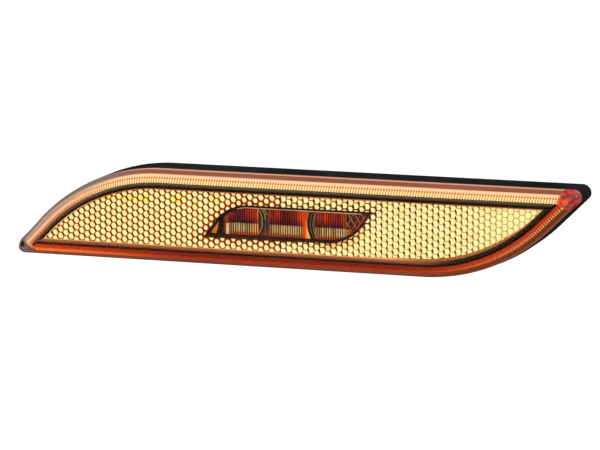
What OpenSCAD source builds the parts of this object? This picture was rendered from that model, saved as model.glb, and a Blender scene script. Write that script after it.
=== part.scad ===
// Side marker lamp: a leaf-shaped lamp with a reflex reflector in the middle, a window with
// three small light bowls, and a toothed light guide round the edge.
// The face looks along -Y, +X is to the right of a viewer and +Z is up. The origin is midway
// between the two screw inserts, on the rear face.
// Inside the modules a point is [across, up, height above the rear face].

/* [Outline] */
// Length of the housing from tip to tip
body_len = 211; // [198:0.5:224]
// Height of the housing
body_h = 33.7; // [32.5:0.1:36]
// Slope of the raked edges in degrees
rake = 45; // [42:1:48]
// Radius of the two wide corners
corner_r = 64; // [50:1:75]
// Radius of the two tips
tip_r = 2.75; // [2:0.25:4]

/* [Housing] */
// Depth of the housing from its rear face to the lens joint
housing_depth = 12.25; // [11:0.25:14]
// Thickness of the side wall
wall_t = 2.6; // [2.4:0.1:3]
// Thickness of the rear wall
base_t = 2.4; // [2.2:0.1:2.8]
// Depth of the moulding pockets in the rear face
pocket_depth = 0.9; // [0.5:0.1:1.2]
// Width of the ribs between the pockets
pocket_rib = 1.6; // [1:0.1:3]
// Distance from one rib to the next
pocket_pitch = 13; // [10:0.5:20]
// Radius of the locating pegs
peg_r = 2; // [1.5:0.1:2.5]
// Length of the locating pegs
peg_len = 5; // [3:0.5:8]
// Place of a locating peg, across
peg_x = 84; // [80:1:88]
// Place of a locating peg, up
peg_y = 5; // [3:0.5:6]

/* [Lens] */
// How far the lens stands above the joint
lens_rise = 6.7; // [6.5:0.1:7.5]
// Thickness of the lens
lens_t = 1.5; // [1.3:0.05:1.6]
// Width of the housing's edge that shows round the lens
flange = 0.1; // [0.05:0.05:0.4]
// Width of the rounded shoulder of the lens
shoulder_w = 2.6; // [2.4:0.1:3]
// Height of the rounded shoulder of the lens
shoulder_h = 5.3; // [4.8:0.1:5.6]
// Width of the weld tongue under the lens
tongue_w = 0.6; // [0.4:0.05:0.8]
// Height of the weld tongue under the lens
tongue_h = 0.7; // [0.4:0.1:1]
// Clearance of the weld tongue in its groove
tongue_gap = 0.06; // [0.03:0.01:0.1]

/* [Bezel and light guides] */
// Clearance between parts that sit side by side
part_gap = 0.12; // [0.08:0.02:0.2]
// Thickness of the bezel floor under the light guides
floor_t = 1; // [0.8:0.1:1.2]
// Width of a light guide with its teeth
guide_w = 2.65; // [2.3:0.05:2.8]
// Height of the toothed part of a light guide
guide_low_h = 2.5; // [2:0.1:2.8]
// Height of the plain ridge on a light guide
guide_ridge_h = 1.3; // [0.8:0.1:1.5]
// Width that the ridge stands back from the teeth
guide_ridge_in = 0.65; // [0.6:0.05:1.2]
// Distance from one tooth to the next
tooth_pitch = 1; // [0.8:0.05:1.6]
// Depth of a tooth
tooth_h = 0.4; // [0.2:0.05:0.55]
// Width of the bezel wall between guide and reflector
bezel_w = 1.55; // [1.4:0.05:2]
// Distance of the bezel's front from the inside of the lens
bezel_gap = 0.2; // [0.15:0.05:0.4]
// Width of the ledge that carries the reflector
ledge_w = 0.9; // [0.7:0.05:1.2]
// Thickness of the ledge that carries the reflector
ledge_t = 1; // [0.8:0.1:1.4]
// Radius of the stem that takes light into a tip block
stem_r = 1.1; // [0.9:0.05:1.2]
// Border of the tip block outside its stem
stem_border = 0.75; // [0.6:0.05:0.9]

/* [Reflector] */
// Distance between neighbouring prisms
cell_pitch = 2.4; // [2.2:0.1:3]
// Height of the prism row nearest the middle
cell_rise = 0.3; // [-0.6:0.1:0.6]
// Thickness of the reflector plate in front of its prisms
plate_t = 0.7; // [0.5:0.05:0.9]
// Plain border between the ledge and the first prisms
prism_border = 0.25; // [0.2:0.05:0.6]

/* [Window] */
// Length of the window frame from tip to tip
window_len = 62; // [58:0.5:66]
// Height of the window frame
window_h = 11.7; // [11:0.1:13]
// Slope of the window's raked edges in degrees
window_rake = 54; // [50:1:58]
// Radius of the window's wide corners
window_corner_r = 16; // [12:0.5:18]
// Width of the window frame
rim_w = 0.9; // [0.7:0.05:1.1]
// Width of the seat for the fluted optic
seat_w = 0.5; // [0.4:0.05:0.6]
// Thickness of the fluted optic, flutes included
optic_t = 1.1; // [1:0.05:1.4]
// Depth of a flute
flute_h = 0.5; // [0.3:0.05:0.6]
// Width of a flute
flute_pitch = 1.15; // [1:0.05:1.5]
// Flutes in front of each bowl
flute_count = 10; // [8:1:11]
// How far the fluted optic lies behind the window frame
optic_drop = 0.5; // [0.3:0.05:0.8]

/* [Light bowls] */
// Distance from one bowl to the next
bowl_pitch = 16.1; // [15.8:0.1:16.6]
// Place of the middle bowl, across
bowl_x = -0.9; // [-1.5:0.1:1]
// Radius of a bowl at its front
bowl_r = 7.5; // [7:0.1:7.8]
// Radius of a bowl at its floor
bowl_floor_r = 2.6; // [2.5:0.1:3]
// Thickness of the floor under a bowl
bowl_floor_t = 1; // [0.8:0.1:1.2]
// Radius of the pins that hold the bowls to the board
stake_r = 0.8; // [0.6:0.05:1]

/* [Circuit board] */
// Thickness of the circuit board
board_t = 1.6; // [1.4:0.1:1.7]
// Height of the posts under the board
post_h = 2.6; // [2:0.1:3.4]
// Gap between the board's edge and the housing wall
board_gap = 0.4; // [0.3:0.05:0.6]
// Radius of the board posts
post_r = 2.4; // [2:0.1:3]
// Radius of the board screws' shanks
screw_r = 0.9; // [0.7:0.05:1.1]
// Radius of the board screws' heads
screw_head_r = 1.9; // [1.6:0.1:2.2]
// Height of the board screws' heads
screw_head_h = 1.3; // [1:0.1:1.5]
// Length of the board screws' shanks
screw_len = 3.6; // [3.2:0.1:3.8]
// Width and length of a lamp diode
diode_w = 2.8; // [2.4:0.1:3]
// Height of a lamp diode's body
diode_h = 0.8; // [0.6:0.1:0.9]
// Width and length of a guide diode
guide_diode_w = 1.4; // [1.2:0.1:1.5]

/* [Mounting] */
// Distance between the two screw inserts
mount_spacing = 124; // [120:1:130]
// Radius of the thread in an insert
insert_bore_r = 2; // [1.5:0.05:2.1]
// Outer radius of an insert
insert_r = 3; // [2.8:0.1:3.2]
// Length of an insert
insert_len = 5.2; // [4:0.1:5.4]
// Wall round an insert
boss_wall = 1.6; // [1.2:0.1:2]
// Width of the rear face that shows round the gasket
gasket_border = 0.8; // [0.6:0.1:1.2]
// Width of the gasket on the rear face
gasket_w = 2.6; // [2:0.1:3]
// Thickness of the gasket
gasket_t = 0.8; // [0.5:0.1:1]

/* [Connector] */
// Place of the connector socket, across
socket_x = 40; // [38:1:42]
// Width of the socket's mouth
socket_w = 17; // [15:0.5:18]
// Height of the socket's mouth
socket_h = 9; // [8:0.5:10]
// Wall of the socket
socket_wall = 1.4; // [1.2:0.1:2]
// Depth of the socket
socket_depth = 16; // [14:0.5:20]
// Distance between the two contact pins
pin_pitch = 6; // [5:0.25:7]
// Radius of a contact pin
pin_r = 0.75; // [0.5:0.05:0.9]
// How far a contact pin stands out of the rear face
pin_len = 9.5; // [8:0.5:10]
// Radius of the breathing hole
vent_r = 1.2; // [0.8:0.1:1.6]
// Radius of the membrane over the breathing hole
membrane_r = 3.4; // [2.5:0.1:3.8]
// Thickness of the membrane
membrane_t = 0.3; // [0.2:0.05:0.4]

/* [Hidden] */

$fn = 48;
corner_steps = 22;
tip_steps = 9;
min_tip_r = 0.3;
over = 1;

// Heights above the rear face
board_base = base_t + post_h;
board_top = board_base + board_t;
joint = housing_depth;
lens_front = joint + lens_rise;
lens_inside = lens_front - lens_t;
guide_base = joint + floor_t;
guide_step = guide_base + guide_low_h;
guide_top = guide_step + guide_ridge_h;
bezel_front = lens_inside - bezel_gap;
plate_front = bezel_front - 0.1;
plate_rear = plate_front - plate_t;
optic_front = plate_front - optic_drop;
optic_seat = optic_front - optic_t;
bowl_floor = board_top + bowl_floor_t;

// Distances inwards from the housing's outline
lens_in = flange + lens_t;
guide_in = lens_in + 0.3;
guide_out = guide_in + guide_w;
bezel_in = guide_out + part_gap;
bezel_out = bezel_in + bezel_w;
plate_in = bezel_out + part_gap;
prism_in = bezel_out + ledge_w + prism_border;

// A leaf outline is [half height, distance of the raked edge from the middle, radius of the
// wide corners, radius of the tips, slope of the raked edge].
function leaf(len, h, corner, tip, a) =
    [h / 2, sin(a) * (len / 2 - tip) - cos(a) * (h / 2 - tip) + tip, corner, tip, a];
function inset(s, d) =
    [s[0] - d, s[1] - d, s[2] - d, max(s[3] - d, min_tip_r), s[4]];
function along(a) = [cos(a), sin(a)];
function corner_centre(s) =
    [(s[1] - s[2] - cos(s[4]) * (s[0] - s[2])) / sin(s[4]), s[2] - s[0]];
function tip_centre(s) =
    [(s[1] - s[3] + cos(s[4]) * (s[0] - s[3])) / sin(s[4]), s[0] - s[3]];
function arc(c, r, a0, a1, n) = [for (i = [0:n]) c + r * along(a0 + (a1 - a0) * i / n)];
function both_halves(p) = concat(p, -p);

// Points round a leaf, from the lower wide corner to the right-hand tip and on
function leaf_points(s) = both_halves(concat(
    arc(corner_centre(s), s[2], -90, s[4] - 90, corner_steps),
    arc(tip_centre(s), s[3], s[4] - 90, 90, tip_steps)));

// How deep a point lies inside a leaf, negative outside
function half_depth(s, p) =
    let (q = p - corner_centre(s), flat = min(s[0] + p.y, s[1] - sin(s[4]) * p.x + cos(s[4]) * p.y))
    q.x > 0 && q * along(s[4]) < 0 ? min(flat, s[2] - norm(q)) : flat;
function depth_in(s, p) = min(half_depth(s, p), half_depth(s, -p));

body = leaf(body_len, body_h, corner_r, tip_r, rake);
window = leaf(window_len, window_h, window_corner_r, min_tip_r, window_rake);

// Turns a shape drawn on its face to look along -Y
module facing() {
    rotate([90, 0, 0]) children();
}

// A flat outline between two heights
module slab(low, high) {
    translate([0, 0, low]) linear_extrude(high - low) children();
}

module leaf_shape(s) {
    polygon(leaf_points(s));
}

// A ring between two insets of a leaf
module leaf_ring(s, outer, inner) {
    difference() {
        leaf_shape(inset(s, outer));
        leaf_shape(inset(s, inner));
    }
}

// A closed skin through rings of points, the first and last of which are capped
module skin(rings) {
    n = len(rings[0]);
    last = len(rings) - 1;
    polyhedron(
        [for (ring = rings) each ring],
        concat(
            [[for (i = [n - 1:-1:0]) i]],
            [for (k = [0:last - 1], i = [0:n - 1])
                let (j = (i + 1) % n)
                each [[k * n + i, k * n + j, k * n + n + j], [k * n + i, k * n + n + j, k * n + n + i]]],
            [[for (i = [0:n - 1]) last * n + i]]));
}

// Mounting bosses and screw posts stand at these places
mounts = [[-mount_spacing / 2, 0], [mount_spacing / 2, 0]];
boss_r = insert_r + boss_wall;
screw_x = 46;
screw_y = 8;
far_screw_in = 26;
far_screw_x = body_len / 2 - far_screw_in;
screws = both_halves([[screw_x, screw_y], [screw_x, -screw_y], [far_screw_x, 0]]);
vent_at = [-30, 0];
pins = [[socket_x - pin_pitch / 2, 0], [socket_x + pin_pitch / 2, 0]];
stake_at = [window_len / 2 - 4.6, window_h / 2 - 2.6];
stake_len = board_t + 0.5;

module at_each(places) {
    for (p = places) translate(p) children();
}

// A slot with round ends
module slot(w, h) {
    square([w - h, h], center = true);
    for (side = [-1, 1]) translate([side * (w - h) / 2, 0]) circle(h / 2);
}

// Where the rear face keeps its full thickness
module rear_lands() {
    at_each(mounts) circle(boss_r + 2);
    at_each([[peg_x, peg_y], [-peg_x, -peg_y]]) circle(peg_r + 2);
    translate(vent_at) circle(membrane_r + 1.6);
    translate([socket_x, 0]) slot(socket_w + 2 * socket_wall + 3, socket_h + 2 * socket_wall + 3);
    reach = floor(body_len / 2 / pocket_pitch);
    for (i = [-reach:reach]) translate([i * pocket_pitch, 0]) square([pocket_rib, body_h], center = true);
    square([body_len, pocket_rib], center = true);
}

module socket() {
    difference() {
        union() {
            slab(-socket_depth, over) slot(socket_w + 2 * socket_wall, socket_h + 2 * socket_wall);
            slab(-socket_depth * 0.62, over) translate([0, (socket_h + 2 * socket_wall) / 2])
                square([4.4, 2.4], center = true);
        }
        slab(-socket_depth - over, 0) slot(socket_w, socket_h);
    }
}

module rear_housing() color("#1d2124") facing() {
    groove_in = flange + (lens_t - tongue_w) / 2 - tongue_gap;
    difference() {
        union() {
            difference() {
                slab(0, joint) leaf_shape(body);
                slab(base_t, joint + over) leaf_shape(inset(body, wall_t));
            }
            slab(base_t / 2, insert_len + 1.2) at_each(mounts) circle(boss_r);
            slab(base_t / 2, board_base) at_each(screws) circle(post_r);
            translate([socket_x, 0, 0]) socket();
            at_each([[peg_x, peg_y], [-peg_x, -peg_y]]) {
                translate([0, 0, -peg_len + 0.6]) cylinder(r = peg_r, h = peg_len);
                translate([0, 0, -peg_len]) cylinder(r1 = peg_r - 0.5, r2 = peg_r, h = 0.6);
            }
        }
        slab(joint - tongue_h - 0.1, joint + over)
            leaf_ring(body, groove_in, groove_in + tongue_w + 2 * tongue_gap);
        slab(-over, gasket_t) leaf_ring(body, gasket_border, gasket_border + gasket_w);
        slab(-over, pocket_depth) difference() {
            leaf_shape(inset(body, gasket_border + gasket_w + 2));
            rear_lands();
        }
        slab(-over, insert_len) at_each(mounts) circle(insert_r);
        slab(board_base - screw_len + board_t - 0.3, joint) at_each(screws) circle(screw_r);
        slab(-over, base_t + over) at_each(pins) circle(pin_r);
        slab(-over, base_t + over) translate(vent_at) circle(vent_r);
        slab(-over, membrane_t) translate(vent_at) circle(membrane_r);
    }
}

// Height and inset of each ring of the lens, from its front, round its foot, to its inside
function shoulder(w, h, steps, up) = [for (i = [0:steps])
    let (a = up ? 90 * i / steps : 90 - 90 * i / steps)
    [flange + shoulder_w - w * cos(a), lens_front - shoulder_h + h * sin(a)]];
tongue_in = flange + (lens_t - tongue_w) / 2;
lens_rings = concat(
    shoulder(shoulder_w, shoulder_h, 8, false),
    [[flange, joint], [tongue_in, joint], [tongue_in, joint - tongue_h],
     [tongue_in + tongue_w, joint - tongue_h], [tongue_in + tongue_w, joint], [lens_in, joint]],
    shoulder(shoulder_w - lens_t, shoulder_h - lens_t, 6, true));

module outer_lens() color("#e08a4a", 0.35) facing()
    skin([for (r = lens_rings)
        [for (p = leaf_points(inset(body, r[0]))) [p.x, p.y, r[1]]]]);

module bezel() color("#2a2d2f") facing() {
    difference() {
        union() {
            slab(joint, guide_base) leaf_ring(body, lens_in + part_gap, bezel_out);
            slab(joint, bezel_front - 0.5) leaf_ring(body, bezel_in, bezel_out);
            slab(joint, bezel_front) leaf_ring(body, bezel_in + 0.5, bezel_out);
            slab(plate_rear - ledge_t, plate_rear) leaf_ring(body, bezel_out - 0.2, bezel_out + ledge_w);
        }
        slab(joint - over, bezel_front) at_each(stems) circle(stem_r + part_gap);
    }
}

// The guides end where the ring round the bezel closes at the tips
guide_inner = inset(body, guide_out);
guide_end = tip_centre(guide_inner).x - 0.6;
end_slope = tip_centre(guide_inner).y / tip_centre(guide_inner).x;
stem_at = tip_centre(inset(body, guide_in + stem_r + stem_border));
stems = [stem_at, -stem_at];

// A straight and a curved row of teeth cut into an edge
function tooth_count(length) = max(1, floor(length / tooth_pitch));
function tooth_line(p, q, depth) =
    let (n = tooth_count(norm(q - p)), out = [q.y - p.y, p.x - q.x] / norm(q - p))
    [for (i = [0:n - 1]) each [p + (q - p) * i / n, p + (q - p) * (i + 0.5) / n - depth * out]];
function tooth_arc(c, r, a0, a1, depth) =
    let (n = tooth_count(r * (a1 - a0) * PI / 180), step = (a1 - a0) / n)
    [for (i = [0:n - 1]) each [c + r * along(a0 + step * i), c + (r - depth) * along(a0 + step * (i + 0.5))]];
function toothed_leaf(s, depth) =
    let (c = corner_centre(s), t = tip_centre(s))
    both_halves(concat(
        tooth_arc(c, s[2], -90, s[4] - 90, depth),
        tooth_line(c + s[2] * along(s[4] - 90), t + s[3] * along(s[4] - 90), depth),
        arc(t, s[3], s[4] - 90, 90, 6),
        tooth_line(t + s[3] * along(90), -c - s[2] * along(-90), depth)));

module guide_band() {
    intersection() {
        difference() {
            children();
            leaf_shape(guide_inner);
        }
        polygon([[-guide_end, -guide_end * end_slope], [guide_end, guide_end * end_slope],
                 [guide_end, body_h], [-guide_end, body_h]]);
    }
}

module light_guide() {
    slab(guide_base, guide_step) guide_band() polygon(toothed_leaf(inset(body, guide_in), tooth_h));
    slab(guide_step - 0.2, guide_top) guide_band() leaf_shape(inset(body, guide_in + guide_ridge_in));
}

module upper_light_guide() color("#f6d59a") facing() light_guide();
module lower_light_guide() color("#c8402a") facing() rotate(180) light_guide();

// A clear block at a tip, fed by a diode below it
module tip_block() {
    module wedge(edge_in) intersection() {
        leaf_ring(body, edge_in, guide_out);
        translate([guide_end + part_gap, -body_h]) square([body_len, 2 * body_h]);
    }
    slab(guide_base, guide_step) wedge(guide_in);
    slab(guide_step - 0.2, guide_top) wedge(guide_in + guide_ridge_in);
    slab(board_top + diode_h + 0.3, guide_base + 0.2) translate(stem_at) circle(stem_r);
}

module right_tip_block() color("#c8402a") facing() tip_block();
module left_tip_block() color("#8a5a44") facing() rotate(180) tip_block();

// The prisms are corners of cubes that stand on end, so each shows three square faces as a
// hexagon. A prism's middle is its rearmost point, and its corners rise in turn by one and
// by two steps.
cell_side = cell_pitch / sqrt(3);
cube_step = cell_side / sqrt(2);
columns = ceil(body_len / 2 / (1.5 * cell_side)) + 2;
rows = ceil(body_h / 2 / cell_pitch) + 2;
prism_front = plate_rear - 0.1;
prism_root = plate_rear + plate_t / 2;

module prisms() {
    span = 2 * rows + 1;
    count = (2 * columns + 1) * span;
    function odd(j) = abs(j) % 2;
    function centre(j, i) = [1.5 * cell_side * j, cell_rise + cell_pitch * (i + odd(j) / 2)];
    function id(j, i) = (j + columns) * span + i + rows;
    // Neighbours from the upper right one round to the lower right one
    function beside(j, i) = [[j + 1, i + odd(j)], [j, i + 1], [j - 1, i + odd(j)],
                             [j - 1, i - 1 + odd(j)], [j, i - 1], [j + 1, i - 1 + odd(j)]];
    grid = [for (j = [-columns:columns], i = [-rows:rows]) centre(j, i)];
    keep = [for (c = grid)
        depth_in(body, c) > prism_in + cell_side && -depth_in(window, c) > part_gap + prism_border + cell_side];
    function kept(b) = abs(b[0]) <= columns && abs(b[1]) <= rows && keep[id(b[0], b[1])];
    // A cell owns its right and its left corner, and finds the rest with its neighbours
    function right_of(b) = count + id(b[0], b[1]);
    function left_of(b) = 2 * count + id(b[0], b[1]);
    function corners(j, i) = let (b = beside(j, i))
        [right_of([j, i]), left_of(b[0]), right_of(b[2]), left_of([j, i]), right_of(b[3]), left_of(b[5])];
    kept_cells = [for (j = [-columns + 1:columns - 1], i = [-rows + 1:rows - 1]) if (kept([j, i])) [j, i]];
    root = 2 * count;
    polyhedron(
        concat(
            [for (c = grid) [c.x, c.y, prism_front - 2 * cube_step]],
            [for (c = grid) [c.x + cell_side, c.y, prism_front - cube_step]],
            [for (c = grid) [c.x - cell_side, c.y, prism_front]],
            [for (c = grid) [c.x + cell_side, c.y, prism_root]],
            [for (c = grid) [c.x - cell_side, c.y, prism_root]]),
        [for (cell = kept_cells)
            let (m = id(cell[0], cell[1]), k = corners(cell[0], cell[1]), b = beside(cell[0], cell[1]))
            each concat(
                [for (i = [0:2:4]) [m, k[i], k[i + 1], k[(i + 2) % 6]]],
                [[for (i = [5:-1:0]) k[i] + root]],
                [for (i = [0:5]) if (!kept(b[i]))
                    [k[(i + 1) % 6], k[i], k[i] + root, k[(i + 1) % 6] + root]])]);
}

module reflex_reflector() color("#f2c878") facing() {
    difference() {
        slab(plate_rear, plate_front) leaf_shape(inset(body, plate_in));
        slab(plate_rear - over, plate_front + over) leaf_shape(inset(window, -part_gap));
    }
    prisms();
}

bowls = [for (i = [-1:1]) [bowl_x + i * bowl_pitch, 0]];
bowl_steps = 8;

module bowl() {
    rise = optic_seat - bowl_floor;
    rotate_extrude($fn = 72) polygon(concat(
        [[0, bowl_floor]],
        [for (i = [0:bowl_steps]) let (k = i / bowl_steps)
            [bowl_floor_r + (bowl_r - bowl_floor_r) * k, bowl_floor + rise * k * k]],
        [[bowl_r, optic_seat + over], [0, optic_seat + over]]));
}

module reflector_bank() color("#2b2624") facing() {
    difference() {
        union() {
            slab(board_top, plate_front) leaf_shape(window);
            at_each([stake_at, -stake_at]) translate([0, 0, board_top - stake_len])
                cylinder(r = stake_r, h = stake_len + 0.2);
        }
        slab(optic_seat, plate_front + over) leaf_shape(inset(window, rim_w));
        intersection() {
            at_each(bowls) bowl();
            slab(bowl_floor - over, optic_seat + over) leaf_shape(inset(window, rim_w + seat_w));
        }
        slab(board_top - over, bowl_floor + 0.2) at_each(bowls)
            square(diode_w + 2 * part_gap, center = true);
    }
}

module fluted_optic() color("#d98a55", 0.6) facing() {
    skin_t = optic_t - flute_h;
    outline = inset(window, rim_w + part_gap);
    field = flute_count * flute_pitch;
    steps = 6;
    slab(optic_front - skin_t, optic_front) leaf_shape(outline);
    slab(optic_seat, optic_front) leaf_ring(window, rim_w + part_gap, rim_w + seat_w);
    intersection() {
        slab(optic_seat, optic_front) leaf_shape(outline);
        for (b = bowls) translate([b.x - field / 2, window_h / 2, 0]) rotate([90, 0, 0])
            linear_extrude(window_h) polygon(concat(
                [[0, optic_front - skin_t / 2]],
                [for (i = [0:flute_count * steps])
                    [i * flute_pitch / steps, optic_front - skin_t - flute_h * abs(sin(180 * i / steps))]],
                [[field, optic_front - skin_t / 2]]));
    }
}

module circuit_board() color("#1f6b3a") facing() {
    slab(board_base, board_top) difference() {
        leaf_shape(inset(body, wall_t + board_gap));
        at_each(mounts) circle(boss_r + 0.4);
        at_each(screws) circle(screw_r + 0.15);
        at_each([stake_at, -stake_at]) circle(stake_r + 0.1);
        at_each(pins) circle(pin_r + 0.1);
    }
}

module lamp_diode() {
    slab(board_top, board_top + diode_h) square(diode_w, center = true);
    translate([0, 0, board_top + diode_h - 0.1]) intersection() {
        translate([0, 0, -0.5]) sphere(r = diode_w * 0.42);
        cylinder(r = diode_w, h = diode_w);
    }
}

module led_left() color("#f3efe2") facing() translate(bowls[0]) lamp_diode();
module led_centre() color("#f3efe2") facing() translate(bowls[1]) lamp_diode();
module led_right() color("#f3efe2") facing() translate(bowls[2]) lamp_diode();

module guide_diode() {
    slab(board_top, board_top + diode_h) square(guide_diode_w, center = true);
}

module left_guide_led() color("#f3efe2") facing() translate(-stem_at) guide_diode();
module right_guide_led() color("#f3efe2") facing() translate(stem_at) guide_diode();

// Small parts on the board lie in the free strips beside the bowls
chip_at = [48, 0];
chip_w = 4.9;
chip_d = 3.9;
chip_h = 1.5;
leg_w = 0.42;
leg_pitch = 1.27;

module driver_chip() color("#26282a") facing() translate(chip_at) {
    slab(board_top + 0.1, board_top + chip_h) square([chip_w, chip_d], center = true);
    for (i = [-1.5:1.5]) translate([i * leg_pitch, 0]) {
        slab(board_top, board_top + 0.25) square([leg_w, chip_d + 2.2], center = true);
    }
}

resistor_first = [-51, -3];
resistor_pitch = 3;
resistor_rows = 3;

module ballast_resistors() color("#3b3f45") facing()
    for (i = [0:resistor_rows - 1], side = [0, 1])
        translate(resistor_first + [side * 4.5, i * resistor_pitch]) {
            slab(board_top, board_top + 0.5) square([2, 1.2], center = true);
            for (end = [-1, 1]) slab(board_top, board_top + 0.6)
                translate([end * 0.8, 0]) square([0.45, 1.25], center = true);
        }

module smoothing_capacitor() color("#c9a24b") facing() translate([5 - far_screw_x, 4.5]) {
    slab(board_top, board_top + 1.8) square([3.5, 2.8], center = true);
    for (end = [-1, 1]) slab(board_top, board_top + 0.9)
        translate([end * 1.8, 0]) square([0.5, 2.2], center = true);
}

protection_x = 36;
protection_in = 3.35;

module protection_diode() color("#2b2b2e") facing()
    translate([protection_x, body_h / 2 - wall_t - board_gap - protection_in, 0]) {
        slab(board_top + 0.1, board_top + 2.1) square([4.3, 2.6], center = true);
        slab(board_top, board_top + 0.3) square([5.4, 1.5], center = true);
    }

// A round contact pin with a pointed end, from the socket to the board
module contact_pin() {
    lead = pin_r * 0.8;
    translate([0, 0, lead - pin_len]) cylinder(r = pin_r, h = pin_len - lead + board_top + 0.8);
    translate([0, 0, -pin_len]) cylinder(r1 = pin_r * 0.4, r2 = pin_r, h = lead);
}

module supply_pin() color("#c9b98a") facing() translate(pins[0]) contact_pin();
module ground_pin() color("#c9b98a") facing() translate(pins[1]) contact_pin();

module board_screws() color("#b9bcc0") facing() at_each(screws) {
    tip = board_top - screw_len;
    difference() {
        union() {
            translate([0, 0, tip + 0.1]) cylinder(r = screw_r, h = screw_len);
            translate([0, 0, board_top]) cylinder(r1 = screw_head_r, r2 = screw_head_r - 0.35, h = screw_head_h);
        }
        slab(board_top + screw_head_h - 0.8, board_top + screw_head_h + over) {
            square([2 * screw_head_r * 0.62, 0.45], center = true);
            square([0.45, 2 * screw_head_r * 0.62], center = true);
        }
    }
}

module threaded_inserts() color("#c79b3d") facing() at_each(mounts) {
    difference() {
        cylinder(r = insert_r, h = insert_len);
        translate([0, 0, -over]) cylinder(r = insert_bore_r, h = insert_len + 2 * over);
        slab(insert_len * 0.45, insert_len * 0.6) difference() {
            circle(insert_r + over);
            circle(insert_r - 0.35);
        }
    }
}

module vent_membrane() color("#dfe3e6") facing() slab(0, membrane_t) translate(vent_at) circle(membrane_r);

module body_gasket() color("#3a3a3c") facing()
    slab(0, gasket_t) leaf_ring(body, gasket_border, gasket_border + gasket_w);

rear_housing();
reflex_reflector();
bezel();
upper_light_guide();
lower_light_guide();
left_tip_block();
right_tip_block();
reflector_bank();
fluted_optic();
circuit_board();
led_left();
led_centre();
led_right();
left_guide_led();
right_guide_led();
driver_chip();
ballast_resistors();
smoothing_capacitor();
protection_diode();
supply_pin();
ground_pin();
board_screws();
threaded_inserts();
vent_membrane();
body_gasket();
outer_lens();
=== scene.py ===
import math
import random

import bmesh
import bpy
from bpy.props import FloatProperty, FloatVectorProperty, PointerProperty
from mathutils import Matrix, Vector


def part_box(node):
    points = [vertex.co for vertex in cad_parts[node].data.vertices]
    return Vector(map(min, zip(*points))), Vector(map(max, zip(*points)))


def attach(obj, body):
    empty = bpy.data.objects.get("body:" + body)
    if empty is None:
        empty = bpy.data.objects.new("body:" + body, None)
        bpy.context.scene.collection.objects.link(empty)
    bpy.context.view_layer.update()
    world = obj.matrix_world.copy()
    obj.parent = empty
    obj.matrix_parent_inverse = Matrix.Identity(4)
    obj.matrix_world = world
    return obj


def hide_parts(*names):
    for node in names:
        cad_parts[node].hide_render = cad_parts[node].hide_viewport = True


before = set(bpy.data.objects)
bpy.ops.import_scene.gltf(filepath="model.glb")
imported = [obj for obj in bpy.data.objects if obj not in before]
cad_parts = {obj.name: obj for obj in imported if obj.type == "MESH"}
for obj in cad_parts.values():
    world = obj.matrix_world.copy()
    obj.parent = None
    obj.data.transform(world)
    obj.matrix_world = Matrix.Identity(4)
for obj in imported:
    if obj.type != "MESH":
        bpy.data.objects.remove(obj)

bl_info = {
    "name": "Side Marker Lamp",
    "version": (1, 0, 0),
    "blender": (4, 5, 0),
    "location": "View3D > Sidebar > Lamp",
    "description": "Builds the looks of a side marker lamp round its packed solids",
    "category": "Object",
}

MM = 0.001
LEAST_TIP = 0.3 * MM
# Points of a solid this close are one point, and a cut this close to a point goes through it
MERGED = 0.002 * MM
TOUCHING = 0.001 * MM
BEVEL_ANGLE = math.radians(40)
BUMP_DEPTH = 0.05 * MM
# Weaker than solid plastic, because the face is seen against a plain white room
CLEAR_IOR = 1.12


def linear(red, green, blue):
    """A colour written as it looks on a screen, from 0 to 255, as linear light."""
    return tuple(
        c / 12.92 if c <= 0.04045 else ((c + 0.055) / 1.055) ** 2.4
        for c in (red / 255, green / 255, blue / 255)
    )


def paint(red, green, blue):
    """The same colour as a vector, to blend with others."""
    return Vector(linear(red, green, blue))


def smooth(low, high, x):
    """0 below low, 1 above high and an even curve between them."""
    t = min(1.0, max(0.0, (x - low) / (high - low)))
    return t * t * (3 - 2 * t)


def span(low, high, x):
    """0 at low and 1 at high, in a straight line."""
    return (x - low) / (high - low)


def blend(a, b, t):
    return a + (b - a) * t


# Outline


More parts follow.
